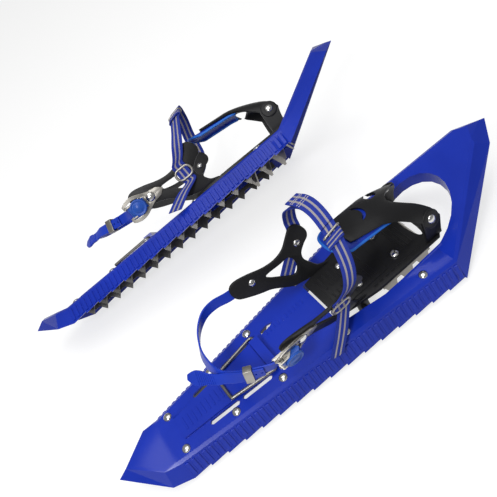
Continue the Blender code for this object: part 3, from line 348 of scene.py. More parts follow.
# %% Placing helper
def place(bm, name, part, material, slot, *nodes, sharp=35):
    """One copy of the piece on each shoe, in place of the named nodes."""
    made = []
    for prefix, matrix in shoes.items():
        mesh = bpy.data.meshes.new(prefix + name)
        copy = bm.copy()
        copy.transform(matrix)
        copy.to_mesh(mesh)
        copy.free()
        mesh.materials.append(material)
        mesh.shade_smooth()
        mesh.set_sharp_from_angle(angle=math.radians(sharp))
        piece = bpy.data.objects.new(prefix + name, mesh)
        bpy.context.scene.collection.objects.link(piece)
        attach(piece, prefix + part)
        if nodes:
            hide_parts(*[prefix + node for node in nodes])
        made.append(piece)
    print(name, len(bm.faces), "faces")
    bm.free()
    return made


def cad_copy(node):
    """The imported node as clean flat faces, in millimetres on its shoe."""
    bm = bmesh.new()
    bm.from_mesh(frame["nodes"]["front_" + node].data)
    bm.transform(shoes["front_"].inverted())
    bmesh.ops.remove_doubles(bm, verts=bm.verts, dist=0.01)
    bmesh.ops.dissolve_limit(bm, angle_limit=math.radians(0.5), verts=bm.verts, edges=bm.edges)
    return bm


def soften(bm, width, segments=2, angle=30):
    """Round every edge that turns by more than the angle."""
    sharp = [e for e in bm.edges if e.is_manifold and e.calc_face_angle() > math.radians(angle)]
    bmesh.ops.bevel(bm, geom=sharp, offset=width, offset_type='OFFSET', segments=segments, profile=0.5,
                    affect='EDGES', clamp_overlap=True, material=-1)


def fresh(bm, before):
    """The vertices made since the given ones."""
    return [v for v in bm.verts if v not in before]


print("helpers to place, copy and soften a piece ready")

# %% [markdown]
# ## Deck
# The deck is one blue moulding: an upturned tray with stepped side skirts, a hole for the toes
# and a raised tongue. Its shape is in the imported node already. What the mould adds is a flat
# chamfer along the rim that catches the light, so the rim's edges alone are bevelled, with one
# segment. They are found by the tilt of the two faces that meet there.

# %% Deck
RIM_FOOT, RIM_CHAMFER = 29.5, 3.2


def on_rim(edge):
    """A top face meets a slanted skirt here."""
    if not edge.is_manifold or min(v.co.z for v in edge.verts) < RIM_FOOT:
        return False
    low, high = sorted(face.normal.z for face in edge.link_faces)
    return high > 0.8 and 0.12 < low < 0.78


deck = cad_copy("deck")
rim = [e for e in deck.edges if on_rim(e)]
print("rim edges", len(rim))
bmesh.ops.bevel(deck, geom=rim, offset=RIM_CHAMFER, offset_type='OFFSET', segments=1, profile=0.5,
                affect='EDGES', clamp_overlap=False, material=-1)
place(deck, "deck_moulding", "shoe", deck_blue, "deck_blue", "deck", sharp=20)

# %% [markdown]
# ## Ribs
# The skirts are stiffened by upright ribs, three on each step, and the tongue has short bars
# across it for grip. Each rib is a small block with broken edges, half sunk in the wall that
# carries it. One helper sets such a block in any frame of three directions.

# %% Rib helper
def block(bm, centre, along, up, size, edge=0.4):
    """Small block with broken edges: its length runs along, its height up."""
    along = Vector(along).normalized()
    out = along.cross(Vector(up)).normalized()
    turn = Matrix((along, out.cross(along), out)).transposed().to_4x4()
    before = set(bm.verts)
    bmesh.ops.create_cube(bm, size=1, matrix=Matrix.Translation(centre) @ turn @ Matrix.Diagonal((*size, 1)))
    edges = {e for v in fresh(bm, before) for e in v.link_edges}
    if edge:
        bmesh.ops.bevel(bm, geom=list(edges), offset=edge, offset_type='OFFSET', segments=1, profile=0.5,
                        affect='EDGES', clamp_overlap=True, material=-1)


print("helper for blocks ready")

# %% Skirt ribs
TAIL_BEND, FRONT_BEND, STEPS = 16.0, 472.0, 16
RIB_SIZE = (6.0, 22.5, 3.6)


def rim_half(y):
    """Half the deck's width at the rim."""
    return 55.5 + 52.5 * (y - TAIL_BEND) / (FRONT_BEND - TAIL_BEND)


ribs = bmesh.new()
pitch = (FRONT_BEND - TAIL_BEND) / STEPS / 3
for k in range(STEPS * 3):
    y = TAIL_BEND + (k + 0.5) * pitch
    for side in (-1, 1):
        middle = (side * (rim_half(y) - 7.1), y, 14.2)
        block(ribs, middle, (side * 0.115, 1, 0), (-side * 0.447, 0, 0.894), RIB_SIZE, 0.6)
place(ribs, "skirt_ribs", "shoe", deck_blue, "deck_blue")

# %% Tongue bars and ticks
BAR_SIZE, BAR_PITCH, TICK_SIZE, TICK_PITCH = (21, 3.0, 1.4), 8.2, (9, 2.6, 1.2), 7.6
ACROSS, FORWARD, UP = (1, 0, 0), (0, 1, 0), (0, 0, 1)
bars = bmesh.new()
for k in range(10):
    block(bars, (0, 50 + BAR_PITCH * k, 33.2), ACROSS, FORWARD, BAR_SIZE)
for k in range(11):
    for side in (-1, 1):
        block(bars, (side * 27, 210 + TICK_PITCH * k, 30.0), ACROSS, FORWARD, TICK_SIZE)
place(bars, "tongue_bars", "shoe", deck_blue, "deck_blue")

# %% [markdown]
# ## Rivets
# Every rivet is a turned shape: a domed head on a round shank. A profile from the axis to the
# axis is spun once round with 32 steps, then its seam is merged. The same profile serves the
# heads on the rails, the footplate, the toe cradle and the wings, at different sizes.

# %% Rivet helper
DOME = ((0, 1.0), (0.36, 0.93), (0.68, 0.7), (0.9, 0.36), (1.0, 0.0))


def turned(bm, profile, seat, direction, steps=32):
    """Spin a profile of (radius, height) and stand it on a seat."""
    before = set(bm.verts)
    chain = [bm.verts.new((r, 0, h)) for r, h in profile]
    edges = [bm.edges.new(pair) for pair in zip(chain, chain[1:])]
    bmesh.ops.spin(bm, geom=chain + edges, cent=(0, 0, 0), axis=(0, 0, 1), dvec=(0, 0, 0),
                   angle=2 * math.pi, steps=steps, use_merge=True)
    bmesh.ops.remove_doubles(bm, verts=fresh(bm, before), dist=0.001)
    turn = Vector((0, 0, 1)).rotation_difference(Vector(direction)).to_matrix().to_4x4()
    new = fresh(bm, before)
    bmesh.ops.recalc_face_normals(bm, faces=list({f for v in new for f in v.link_faces}))
    bmesh.ops.transform(bm, matrix=Matrix.Translation(seat) @ turn, verts=new)


def rivet(bm, seat, direction, head, dome, shank, length):
    """Domed head of a radius and height, on a shank of a radius and length."""
    profile = [(r * head, h * dome) for r, h in DOME] + [(head, -0.25), (shank, -0.25)]
    turned(bm, profile + [(shank, -length), (0, -length)], seat, direction)


print("helpers for turned shapes and rivets ready")

# %% [markdown]
# ## Traction rails
# Each rail is a toothed strip of sheet steel under the side of the deck, stamped and bent, and
# set by five rivets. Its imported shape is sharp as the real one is, so it is kept as it is and
# only gets its steel. The rivets' heads are added on the deck above it.

# %% Traction rails
RAIL_STATIONS = (0.0, 0.212, 0.409, 0.674, 1.0)
RAIL_START, RAIL_LENGTH, RAIL_INSET, DECK_TOP = 33, 396, 27, 30.3
for side, name in ((-1, "left"), (1, "right")):
    heads = bmesh.new()
    for share in RAIL_STATIONS:
        y = RAIL_START + RAIL_LENGTH * share
        rivet(heads, (side * (rim_half(y) - RAIL_INSET), y, DECK_TOP), UP, 6.8, 3.3, 2.8, 1.0)
    place(heads, "rail_rivets_" + name, "shoe", rivet_steel, "steel")
for prefix in shoes:
    for node in ("traction_rail_left", "traction_rail_right", "pivot_axle"):
        data = frame["nodes"][prefix + node].data
        data.materials.clear()
        data.materials.append(rail_steel)
print("rails and axle keep their packed shape")

# %% [markdown]
# ## Wires
# The heel bail, the ring and the slider are bent from round wire. A circle of edges is extruded
# from point to point along the wire's path, and each new ring is turned to face the next bend.
# A closed ring ends by bridging its last circle to its first.

# %% Wire helper
def smooth_path(points, per_span=8, closed=False):
    """Points of a smooth curve through the given ones."""
    pts = [Vector(p) for p in points]
    count = len(pts)
    spans = count if closed else count - 1
    path = []
    for i in range(spans):
        pick = [pts[(i + k) % count] if closed else pts[min(max(i + k, 0), count - 1)] for k in (-1, 0, 1, 2)]
        for k in range(per_span):
            t = k / per_span
            p0, p1, p2, p3 = pick
            path.append(0.5 * (2 * p1 + (p2 - p0) * t + (2 * p0 - 5 * p1 + 4 * p2 - p3) * t ** 2
                               + (3 * p1 - p0 - 3 * p2 + p3) * t ** 3))
    return path if closed else path + [pts[-1]]


def wire(bm, path, radius, sides=14, closed=False):
    """Round wire along a path of points."""
    count = len(path)
    frames = []
    side = None
    for i, point in enumerate(path):
        ahead = path[(i + 1) % count] if closed or i < count - 1 else point
        behind = path[i - 1] if closed or i > 0 else point
        tangent = (ahead - behind).normalized()
        guess = side or tangent.orthogonal()
        side = (guess - tangent * guess.dot(tangent)).normalized()
        turn = Matrix((side, tangent.cross(side), tangent)).transposed().to_4x4()
        frames.append(Matrix.Translation(point) @ turn)
    ring = bmesh.ops.create_circle(bm, cap_ends=False, radius=radius, segments=sides, matrix=frames[0])
    first = list({e for v in ring["verts"] for e in v.link_edges})
    edges = first
    for old, new in zip(frames, frames[1:]):
        grown = bmesh.ops.extrude_edge_only(bm, edges=edges)["geom"]
        verts = [g for g in grown if isinstance(g, bmesh.types.BMVert)]
        edges = [e for e in grown if isinstance(e, bmesh.types.BMEdge) and all(v in verts for v in e.verts)]
        bmesh.ops.transform(bm, matrix=new @ old.inverted(), verts=verts)
    if closed:
        bmesh.ops.bridge_loops(bm, edges=first + edges)
    else:
        for loop in (first, edges):
            bmesh.ops.edgeloop_fill(bm, edges=loop)
    bmesh.ops.recalc_face_normals(bm, faces=bm.faces)


print("helpers for smooth paths and wires ready")

# %% [markdown]
# ## Heel bail
# The bail lies flat in the deck and swings up to carry the heel on steep ground. It is one bent
# wire whose two ends turn inward into sockets. Half its path is given and then mirrored, so
# both sides stay equal.

# %% Heel bail
BAIL_Z, BAIL_RADIUS = 36.0, 2.5
half_bail = [(21, 197), (29, 197), (32.5, 196), (33.8, 193), (33.0, 186), (24.5, 131), (23.2, 125.5), (19.5, 123)]
right = [Vector((x, y, BAIL_Z)) for x, y in half_bail]
bail_path = right + [Vector((-p.x, p.y, p.z)) for p in reversed(right)]
bail = bmesh.new()
wire(bail, smooth_path(bail_path, 5), BAIL_RADIUS)
place(bail, "heel_bail", "bail", wire_steel, "steel", "heel_lift_bail")

# %% [markdown]
# ## Footplate
# The footplate is black plastic, ribbed for grip, and riveted to the steel claws below it. Its
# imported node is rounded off, and low studs, bars and the raised rings round its rivets are set
# on it as blocks and turned shapes.

# %% Footplate
PLATE_TOP = 38.0
RIVET_X, RIVET_Y = 25, 426
plate = cad_copy("binding_plate")
soften(plate, 0.8, 2)
place(plate, "footplate", "binding", binding_black, "binding_black", "binding_plate")

grip = bmesh.new()
for k in range(8):
    for side in (-1, 1):
        block(grip, (side * 44, 374 + 11 * k, PLATE_TOP), FORWARD, ACROSS, (7, 4, 1.8), 0.5)
        block(grip, (side * 18, 324 + 9 * k, PLATE_TOP + 1), ACROSS, FORWARD, (26, 2.6, 1.4), 0.4)
for k in range(3):
    block(grip, (0, 440 + 8 * k, PLATE_TOP), ACROSS, FORWARD, (58, 3, 1.6), 0.4)
for x in (-RIVET_X, RIVET_X):
    turned(grip, [(6.9, 0.1), (7.2, 0.9), (8.6, 0.9), (9.6, 0.0), (9.6, -0.5), (6.9, -0.5), (6.9, 0.1)],
           (x, RIVET_Y, PLATE_TOP), UP)
place(grip, "footplate_grip", "binding", binding_black, "binding_black")

# %% [markdown]
# ## Claws and plate rivets
# The claws are cut from thicker sheet and folded down under the toes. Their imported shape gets
# only a fine bevel, because a stamped edge is nearly sharp. Two large rivets hold plate and
# claws together and two small ones sit behind them.

# %% Claws
claws = cad_copy("toe_crampon")
soften(claws, 0.35, 1)
place(claws, "claws", "binding", plain_steel, "steel", "toe_crampon")

# %% Footplate rivets
for x, name in ((-RIVET_X, "left"), (RIVET_X, "right")):
    head = bmesh.new()
    rivet(head, (x, RIVET_Y, PLATE_TOP + 0.6), UP, 6.6, 3.0, 3.0, 9.0)
    place(head, "footplate_rivet_" + name, "binding", rivet_steel, "steel", "plate_rivet_" + name)
small_heads = bmesh.new()
for x, y in ((24, 360), (-24, 360)):
    rivet(small_heads, (x, y, PLATE_TOP + 1.4), UP, 5.4, 2.4, 2.4, 1.0)
place(small_heads, "footplate_small_rivets", "binding", rivet_steel, "steel")

# %% [markdown]
# ## Toe cradle
# The cradle is a black saddle over the toes with two arms down to the front corners of the
# footplate. It is one bent sheet, so a flat grid is laid over the boxy toe form, given its
# thickness with solidify, and cut by a window and a crescent with a Boolean, as a die would.

# %% Cutting helper
def cut(bm, tool):
    """Take one closed shape out of another."""
    pair = []
    for shape in (bm, tool):
        mesh = bpy.data.meshes.new("cutting")
        shape.to_mesh(mesh)
        shape.free()
        pair.append(bpy.data.objects.new("cutting", mesh))
        bpy.context.scene.collection.objects.link(pair[-1])
    made = pair[0].modifiers.new("cut", 'BOOLEAN')
    made.object = pair[1]
    made.operation = 'DIFFERENCE'
    made.solver = 'EXACT'
    graph = bpy.context.evaluated_depsgraph_get()
    result = bmesh.new()
    result.from_object(pair[0], graph)
    for item in pair:
        bpy.data.objects.remove(item)
    return result


def plan_prism(bm, outline, low, high):
    """Upright prism of a plan outline."""
    ring = bmesh.ops.create_circle(bm, cap_ends=True, radius=1, segments=len(outline))["verts"]
    for vertex, (x, y) in zip(ring, outline):
        vertex.co = (x, y, low)
    face = ring[0].link_faces[0]
    grown = bmesh.ops.extrude_face_region(bm, geom=[face])["geom"]
    bmesh.ops.translate(bm, verts=[g for g in grown if isinstance(g, bmesh.types.BMVert)], vec=(0, 0, high - low))
    bmesh.ops.recalc_face_normals(bm, faces=bm.faces)


print("helpers for cutting ready")

# %% Toe form
def toe_form(angle, y, inset):
    """Point on the boxy toe form: angle from straight up, y from the pivot."""
    front = max(0.0, (y - 75) / 65)
    height = 80 - 25 * front ** 1.5 + 0.12 * max(0.0, 75 - y) - inset
    s, c = math.sin(angle), max(0.0, math.cos(angle))
    return Vector((math.copysign((48 - inset) * abs(s) ** 0.6, s), PIVOT.y + y, PLATE_TOP + 0.3 + height * c ** 0.6))


def cradle_edges(angle):
    """Rear and front edge of the cradle at an angle."""
    turns = [(0, 30, 112), (6, 30, 119), (19, 32, 135), (28, 80, 142), (40, 101, 149), (64, 125, 155),
             (90.1, 122, 148)]
    degrees = abs(math.degrees(angle))
    for (a0, r0, f0), (a1, r1, f1) in zip(turns, turns[1:]):
        if degrees <= a1:
            share = (degrees - a0) / (a1 - a0)
            return r0 + (r1 - r0) * share, f0 + (f1 - f0) * share


def bent_sheet(limit, edges, inset, thickness, columns, rows):
    """Grid laid over the toe form between two edges, with a thickness about its middle."""
    bm = bmesh.new()
    bmesh.ops.create_grid(bm, x_segments=columns, y_segments=rows, size=0.5)
    for vertex in bm.verts:
        angle = math.radians(limit) * 2 * vertex.co.x
        rear, front = edges(angle)
        vertex.co = toe_form(angle, rear + (front - rear) * (vertex.co.y + 0.5), inset)
    return thicken(bm, thickness)


def thicken(bm, thickness):
    """Give a sheet its thickness, half to each side."""
    bm.normal_update()
    for vertex, normal in [(v, v.normal.copy()) for v in bm.verts]:
        vertex.co += normal * (thickness / 2)
    bmesh.ops.solidify(bm, geom=bm.faces[:], thickness=thickness)
    bmesh.ops.recalc_face_normals(bm, faces=bm.faces)
    return bm


print("toe form is", round(toe_form(0, 75, 0).z - PLATE_TOP), "mm high over the footplate")

# %% Toe cradle
cradle = bent_sheet(90, cradle_edges, 0.0, 3.2, 90, 12)
WINDOW = ((-39, 448), (-31, 457), (-22, 458), (-17, 449), (-18, 442), (-27, 439))
arcs = [(16 * math.cos(math.radians(10 + 16 * k)), 15 * math.sin(math.radians(10 + 16 * k))) for k in range(11)]
arcs += [(12 * math.cos(math.radians(154 - 16 * k)), 10 * math.sin(math.radians(154 - 16 * k))) for k in range(9)]
CRESCENT = [(x - 6, y + 409) for x, y in arcs]
holes = bmesh.new()
smooth_window = [(p.x, p.y) for p in smooth_path([(x, y, 0) for x, y in WINDOW], 5, True)]
plan_prism(holes, smooth_window, 70, 150)
plan_prism(holes, CRESCENT, 70, 150)
cradle = cut(cradle, holes)
soften(cradle, 0.8, 2, 50)
place(cradle, "toe_saddle", "binding", binding_black, "binding_black", "toe_cradle")

# %% Lugs and rivets of the cradle
for side, name in ((-1, "left"), (1, "right")):
    seat, out = Vector((side * 45.0, 485.0, 71.8)), Vector((side * 0.95, 0.11, 0.30)).normalized()
    lug = bmesh.new()
    turned(lug, [(0, 1.4), (11.6, 1.4), (13.2, 0.9), (14.0, 0.0), (14.0, -2.6), (0, -2.6)], seat + out * 1.2, out)
    place(lug, "toe_lug_" + name, "binding", binding_black, "binding_black")
    head = bmesh.new()
    rivet(head, seat + out * 2.7, out, 6.6, 3.0, 3.0, 5.2)
    place(head, "toe_rivet_head_" + name, "binding", rivet_steel, "steel", "toe_rivet_" + name)

# %% [markdown]
# ## Toe liner
# Under the saddle lies a soft pad with a bright bound edge. The pad is the same bent sheet, a
# little fuller in its middle, and its binding is a wire of cloth that runs right round it.

# %% Toe liner
LINER_DEGREES, LINER_INSET, LINER_FRONT = 31, 4.1, 93
LINER_LIMIT = math.radians(LINER_DEGREES)


def liner_edges(angle):
    """Rear and front edge of the pad at an angle."""
    return 5 + 22 * (1 - math.cos(angle)) / (1 - math.cos(LINER_LIMIT)), LINER_FRONT


liner = bent_sheet(LINER_DEGREES, liner_edges, LINER_INSET, 2.6, 40, 24)
soften(liner, 0.9, 2, 50)
pads = place(liner, "toe_pad", "binding", strap_blue, "strap_blue", "toe_liner")


def liner_loop():
    """Points round the pad's edge: along the rear, up the right, along the front, down the left."""
    loop = []
    for k in range(24):
        angle = LINER_LIMIT * (k / 12 - 1)
        loop.append(toe_form(angle, liner_edges(angle)[0], LINER_INSET))
    rear, front = liner_edges(LINER_LIMIT)
    loop += [toe_form(LINER_LIMIT, rear + (front - rear) * k / 8, LINER_INSET) for k in range(8)]
    loop += [toe_form(LINER_LIMIT * (1 - k / 12), front, LINER_INSET) for k in range(24)]
    loop += [toe_form(-LINER_LIMIT, front - (front - rear) * k / 8, LINER_INSET) for k in range(8)]
    return loop


piping = bmesh.new()
wire(piping, smooth_path(liner_loop(), 2, True), 2.1, 10, True)
place(piping, "toe_pad_piping", "binding", piping_blue, "strap_blue")

# %% [markdown]
# ## Heel wings
# Two black wings rise from the footplate and reach back along the heel. Their outline is drawn
# from the side as a smooth closed curve, extruded to the wing's thickness, cut by a window,
# rounded, and then leaned outward by shifting each point sideways with its height.

# %% Heel wings
WING = ((10, .3), (-3, 6), (-10, 16), (-15.5, 27), (-13, 37), (-2, 45), (8, 50), (12, 58), (9, 68), (2, 75),
        (-8, 75), (-20, 67), (-34, 58), (-52, 54.5), (-72, 57), (-94, 64), (-114, 68.5), (-126, 66), (-130, 57),
        (-126, 46), (-112, 38), (-96, 31), (-80, 25), (-66, 16), (-52, 7), (-38, 3), (-24, .3))
WING_WINDOW = ((-73, 46), (-48, 45), (-34, 45), (-28, 37), (-30, 25), (-40, 18.5), (-60, 31), (-72, 40))
LEAN = {-1: 0.42, 1: 0.25}
WING_FOOT, WING_HALF_THICK = 44, 1.6


def side_plan(points, per_span):
    """Smooth closed outline through points given as (y, height)."""
    return [(p.x, p.y) for p in smooth_path([(y, z, 0) for y, z in points], per_span, True)]


def wing_shape(side):
    """One wing, leaned to its side."""
    foot = [(y, max(z, 0.3)) for y, z in side_plan(WING, 4)]
    wing = bmesh.new()
    plan_prism(wing, foot, -WING_HALF_THICK, WING_HALF_THICK)
    hole = bmesh.new()
    plan_prism(hole, side_plan(WING_WINDOW, 4), -9, 9)
    wing = cut(wing, hole)
    soften(wing, 1.1, 3, 50)
    for vertex in wing.verts:
        y, z, x = vertex.co
        vertex.co = (x + side * (WING_FOOT + LEAN[side] * z), PIVOT.y + y, PLATE_TOP + z)
    bmesh.ops.recalc_face_normals(wing, faces=wing.faces)
    return wing


for side, name in ((-1, "left"), (1, "right")):
    place(wing_shape(side), "wing_" + name, "binding", binding_black, "binding_black", "heel_wing_" + name)


def wing_frame(side, y, z):
    """Frame on the outer face of a wing: X back, Y up the wing, Z out."""
    up = Vector((side * LEAN[side], 0, 1)).normalized()
    out = Vector((side, 0, -LEAN[side])).normalized()
    seat = Vector((side * (WING_FOOT + LEAN[side] * z), PIVOT.y + y, PLATE_TOP + z))
    seat += out * 1.5 / math.hypot(1, LEAN[side])
    made = Matrix((Vector((0, -1, 0)), up, out)).transposed().to_4x4()
    made.translation = seat
    return made


for name, y, z, length in (("front", -10, 52, 5.3), ("rear", -96, 51, 5.9)):
    spot = wing_frame(-1, y, z)
    out = spot.col[2].xyz
    head = bmesh.new()
    rivet(head, spot.translation - out * 3.2, -out, 5.6, 2.4, 3.0, length)
    turned(head, [(0, 0.7), (3.4, 0.7), (4.0, 0.2), (4.0, -0.2), (0, -0.2)],
           spot.translation + out * (length - 2.9), out, 20)
    place(head, "wing_rivet_head_" + name, "binding", rivet_steel, "steel", "wing_rivet_" + name)

# %% [markdown]
# ## Straps
# A strap is a flat grid laid along a smooth track: each row of the grid goes to one place on
# the track and is turned to the direction of the strap's width there. The rows are spaced by
# true length, so the weave and the stripes aren't stretched, and the UV map counts in widths.

# %% Strap helper
STRAP_COLUMNS = 8
KEY_STEPS = 12


class Track:
    """Smooth line through (point, direction of the width) keys, read by share of its length."""

    def __init__(self, keys):
        self.points = smooth_path([p for p, _ in keys], KEY_STEPS)
        self.across = [a.normalized() for a in smooth_path([Vector(a).normalized() for _, a in keys], KEY_STEPS)]
        self.length = [0.0]
        for a, b in zip(self.points, self.points[1:]):
            self.length.append(self.length[-1] + (b - a).length)

    def at(self, share):
        want = min(max(share, 0.0), 1.0) * self.length[-1]
        i = 0
        while i < len(self.length) - 2 and self.length[i + 1] < want:
            i += 1
        t = (want - self.length[i]) / max(1e-6, self.length[i + 1] - self.length[i])
        point = self.points[i].lerp(self.points[i + 1], t)
        across = self.across[i].lerp(self.across[i + 1], t).normalized()
        along = (self.points[i + 1] - self.points[i]).normalized()
        return point, across, along


def strap(track, width, thickness, spacing=4.0, profile=None):
    """Band along a track, with the strap's own UV map."""
    bm = bmesh.new()
    layer = bm.loops.layers.uv.new("strap")
    length = track.length[-1]
    bmesh.ops.create_grid(bm, x_segments=STRAP_COLUMNS, y_segments=max(4, int(length / spacing)), size=0.5)
    for face in bm.faces:
        for loop in face.loops:
            x, y, _ = loop.vert.co
            loop[layer].uv = (x + 0.5, (y + 0.5) * length / width)
    for vertex in bm.verts:
        share = vertex.co.y + 0.5
        point, across, _ = track.at(share)
        full = width * (profile(share) if profile else 1.0)
        vertex.co = point + across * (vertex.co.x * full)
    thicken(bm, thickness)
    soften(bm, min(0.5, thickness * 0.3), 2, 60)
    return bm


print("helpers for straps ready")

# %% [markdown]
# ## Heel strap
# The heel strap is a blue plastic ladder strap from the buckle round the heel to the left wing.
# Its loose end, the pull tab, lies on its outside, is punched with holes and ends in a ribbed
# grip, and a bent steel keeper holds both. The tab follows the strap's own track at a distance.

# %% Heel strap
HEEL_WIDTH, HEEL_THICK = 16, 2.6
left_up, buckle_up = Vector((-0.39, 0, 0.92)), Vector((0.24, 0, 0.97))
buckle = wing_frame(1, -98, 44)
heel_keys = [(buckle @ Vector((back, 0, 3.9)), buckle_up) for back in (20, 36, 48)]
heel_keys += [((58.8, 192, 81.6), (0.15, 0.1, 0.98)), ((47, 165.5, 86), (-0.1, 0.3, 0.94)),
              ((36, 146.5, 90), (-0.25, 0.45, 0.85)), ((22, 135, 93.5), (-0.2, 0.5, 0.84)),
              ((0, 131.5, 96.5), (-0.05, 0.5, 0.86)), ((-24, 134, 98), (0.05, 0.42, 0.9)),
              ((-51, 147, 99), (0.12, 0.25, 0.96)), ((-69.5, 167, 98.5), (-0.05, 0.1, 1)),
              ((-74.4, 188, 96.5), (-0.25, 0.03, 0.97)), ((-70.7, 209, 93.8), left_up),
              ((-69.4, 233, 90.8), left_up), ((-67.8, 259, 86.8), left_up)]
heel_track = Track(heel_keys)
heel = strap(heel_track, HEEL_WIDTH, HEEL_THICK)
place(heel, "heel_strap_loop", "binding", strap_blue, "strap_blue", "heel_strap")
print("heel strap length", round(heel_track.length[-1]), "mm")

# %% Pull tab
TAB_LIFT = 3.5
tab_keys = []
for k in range(40, 65, 4):
    across = heel_track.across[k]
    out = across.cross(heel_track.points[k + 1] - heel_track.points[k - 1]).normalized()
    tab_keys.append((heel_track.points[k] + out * TAB_LIFT, across))
tab_keys += [((25, 128, 93), (-0.3, 0.55, 0.78)), ((8, 112, 96.5), (-0.35, 0.6, 0.72)),
             ((-5, 100, 99.5), (-0.35, 0.6, 0.72))]
tab_track = Track(tab_keys)


def tab_shape(share):
    """Narrow neck, a wide grip and a blunt tip."""
    grip = min(1.0, max(0.0, (share - 0.72) / 0.1))
    tip = max(0.0, (share - 0.88) / 0.12)
    return 1.0 + 0.36 * grip - 0.9 * tip ** 1.6


tab = strap(tab_track, HEEL_WIDTH, HEEL_THICK, spacing=2.0, profile=tab_shape)
punches = bmesh.new()
for share in (0.03, 0.11, 0.19):
    point, across, along = tab_track.at(share)
    turned(punches, [(0, 4), (1.5, 4), (1.5, -1.8), (0, -1.8)], point, across.cross(along).normalized(), 16)
tab = cut(tab, punches)
for k in range(9):
    share = 0.64 + 0.028 * k
    point, across, along = tab_track.at(share)
    normal = across.cross(along).normalized()
    block(tab, point + normal * 1.3, across + along * 0.3, along, (15 * tab_shape(share), 1.5, 1.6), 0.3)
place(tab, "pull_tab_grip", "binding", strap_blue, "strap_blue", "pull_tab")
print("pull tab length", round(tab_track.length[-1]), "mm")

# %% Keeper
keeper = cad_copy("strap_keeper")
soften(keeper, 0.6, 2)
place(keeper, "keeper_loop", "binding", plain_steel, "steel", "strap_keeper")

# %% [markdown]
# ## Ratchet buckle
# The buckle is a pressed steel fork riveted to the right wing, with a blue lever on a pin
# between its cheeks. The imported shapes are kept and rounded: little on the pressed fork, more
# on the moulded lever. Two flat arms bend round the lever like a wishbone and are laid as bands
# along a track. A round cap for a gloved thumb is turned above the cheeks, so that it clears
# them when the lever opens.

# %% Ratchet buckle
fork = cad_copy("buckle_frame")
soften(fork, 0.5, 2)
pin_up, buckle_out = buckle.col[1].xyz, buckle.col[2].xyz
for back in (-9, 12):
    turned(fork, [(0, 0.12), (1.5, 0.12), (1.9, 0.45), (2.6, 0.3), (2.9, 0.0), (2.9, -0.4), (0, -0.4)],
           buckle @ Vector((back, 0, 2.3)), buckle_out, 20)
place(fork, "buckle_fork", "binding", plain_steel, "steel", "buckle_frame")
ARM = ((-4, 6.0, 2.6), (5, 9.6, 3.2), (14, 14.0, 5.4), (24, 17.4, 7.2), (34, 17.8, 8.0), (42, 15.4, 8.0),
       (47, 12.6, 7.4))
for side, name in ((-1, "buckle_arm_low"), (1, "buckle_arm_high")):
    arm_track = Track([(buckle @ Vector((back, side * half, out)), pin_up) for back, half, out in ARM])
    place(strap(arm_track, 6.2, 2.2, spacing=2.0), name, "binding", plain_steel, "steel")

lever = cad_copy("buckle_lever")
soften(lever, 1.8, 3)
CAP = [(0, 1.2), (7.6, 1.2), (8.6, 0.2), (10.6, 0.0), (11.4, 0.9), (13.0, 0.5), (13.8, -0.6), (13.8, -2.6),
       (8.0, -2.6), (8.0, -6.0), (0, -6.0)]
turned(lever, CAP, buckle @ Vector((24, 0, 17.1)), buckle_out)
place(lever, "buckle_thumb_lever", "lever", lever_blue, "strap_blue", "buckle_lever")

pin = bmesh.new()
pin_foot = buckle @ Vector((38, -12, 9.3))
turned(pin, [(0, 24), (1.6, 24), (2.0, 23.6), (2.0, 0.4), (1.6, 0), (0, 0)], pin_foot, pin_up, 20)
place(pin, "buckle_hinge_pin", "binding", rivet_steel, "steel", "buckle_pin")

stud = bmesh.new()
rivet(stud, buckle @ Vector((0, 0, 2.7)), buckle_out, 8.0, 3.4, 4.0, 5.8)
place(stud, "buckle_stud", "binding", rivet_steel, "steel", "buckle_rivet")

# %% [markdown]
# ## Ring and slider
# The webbing runs through a D-ring at the right wing and a slider near the top of its arch.
# Both are bent wire, so their path is a rounded rectangle whose corners are short arcs.

# %% Ring and slider
def loop_path(spot, half, low, high, radius):
    """Rounded rectangle in the plane of a frame."""
    path = []
    for x, y, start in ((-half, low, 180), (half, low, 270), (half, high, 0), (-half, high, 90)):
        cx, cy = x - math.copysign(radius, x), y + (radius if y == low else -radius)
        for k in range(7):
            angle = math.radians(start + 15 * k)
            path.append(spot @ Vector((cx + radius * math.cos(angle), cy + radius * math.sin(angle), 0)))
    return path


ring_spot = wing_frame(1, -31, 40)
ring_spot.translation += ring_spot.col[2].xyz * 1.9
ring = bmesh.new()
wire(ring, loop_path(ring_spot, 14.5, -9, 9, 8.5), 2.3, 12, True)
place(ring, "d_ring", "binding", plain_steel, "steel", "wire_ring")

instep_keys = [
    ((-53.6, 287, 54), (-0.21, -0.84, 0.51)), ((-61.2, 311, 72), (-0.21, -0.84, 0.51)),
    ((-68.3, 335, 89), (-0.21, -0.84, 0.51)), ((-75.9, 345, 107), (-0.16, -0.91, 0.37)),
    ((-80.9, 348, 119), (0, -0.96, 0.29)), ((-72, 353, 146), (0, -1, 0.1)), ((-50, 361, 166), (0, -1, -0.1)),
    ((-24, 365, 179), (0, -0.98, -0.2)), ((6, 364, 175), (0, -0.98, -0.2)), ((36, 357, 160), (0, -0.97, -0.24)),
    ((60, 347, 138), (0, -0.98, -0.2)), ((70, 335, 118), (0, -1, 0)), ((66, 323, 102), (0, -1, 0)),
    ((61.4, 314, 93.9), (0, -1, 0)), ((60, 314, 88.1), (0, -1, 0))]
instep_track = Track(instep_keys)
near = min(range(200), key=lambda k: (instep_track.at(k / 200)[0] - Vector((26.4, 359.8, 165.9))).length) / 200
point, across, along = instep_track.at(near)
slider_spot = Matrix((across, along.cross(across).normalized(), along)).transposed().to_4x4()
slider_spot.translation = point
slider = bmesh.new()
wire(slider, loop_path(slider_spot, 13.2, -3.5, 3.5, 3.2), 1.6, 12, True)
place(slider, "webbing_slider", "binding", plain_steel, "steel", "strap_slider")

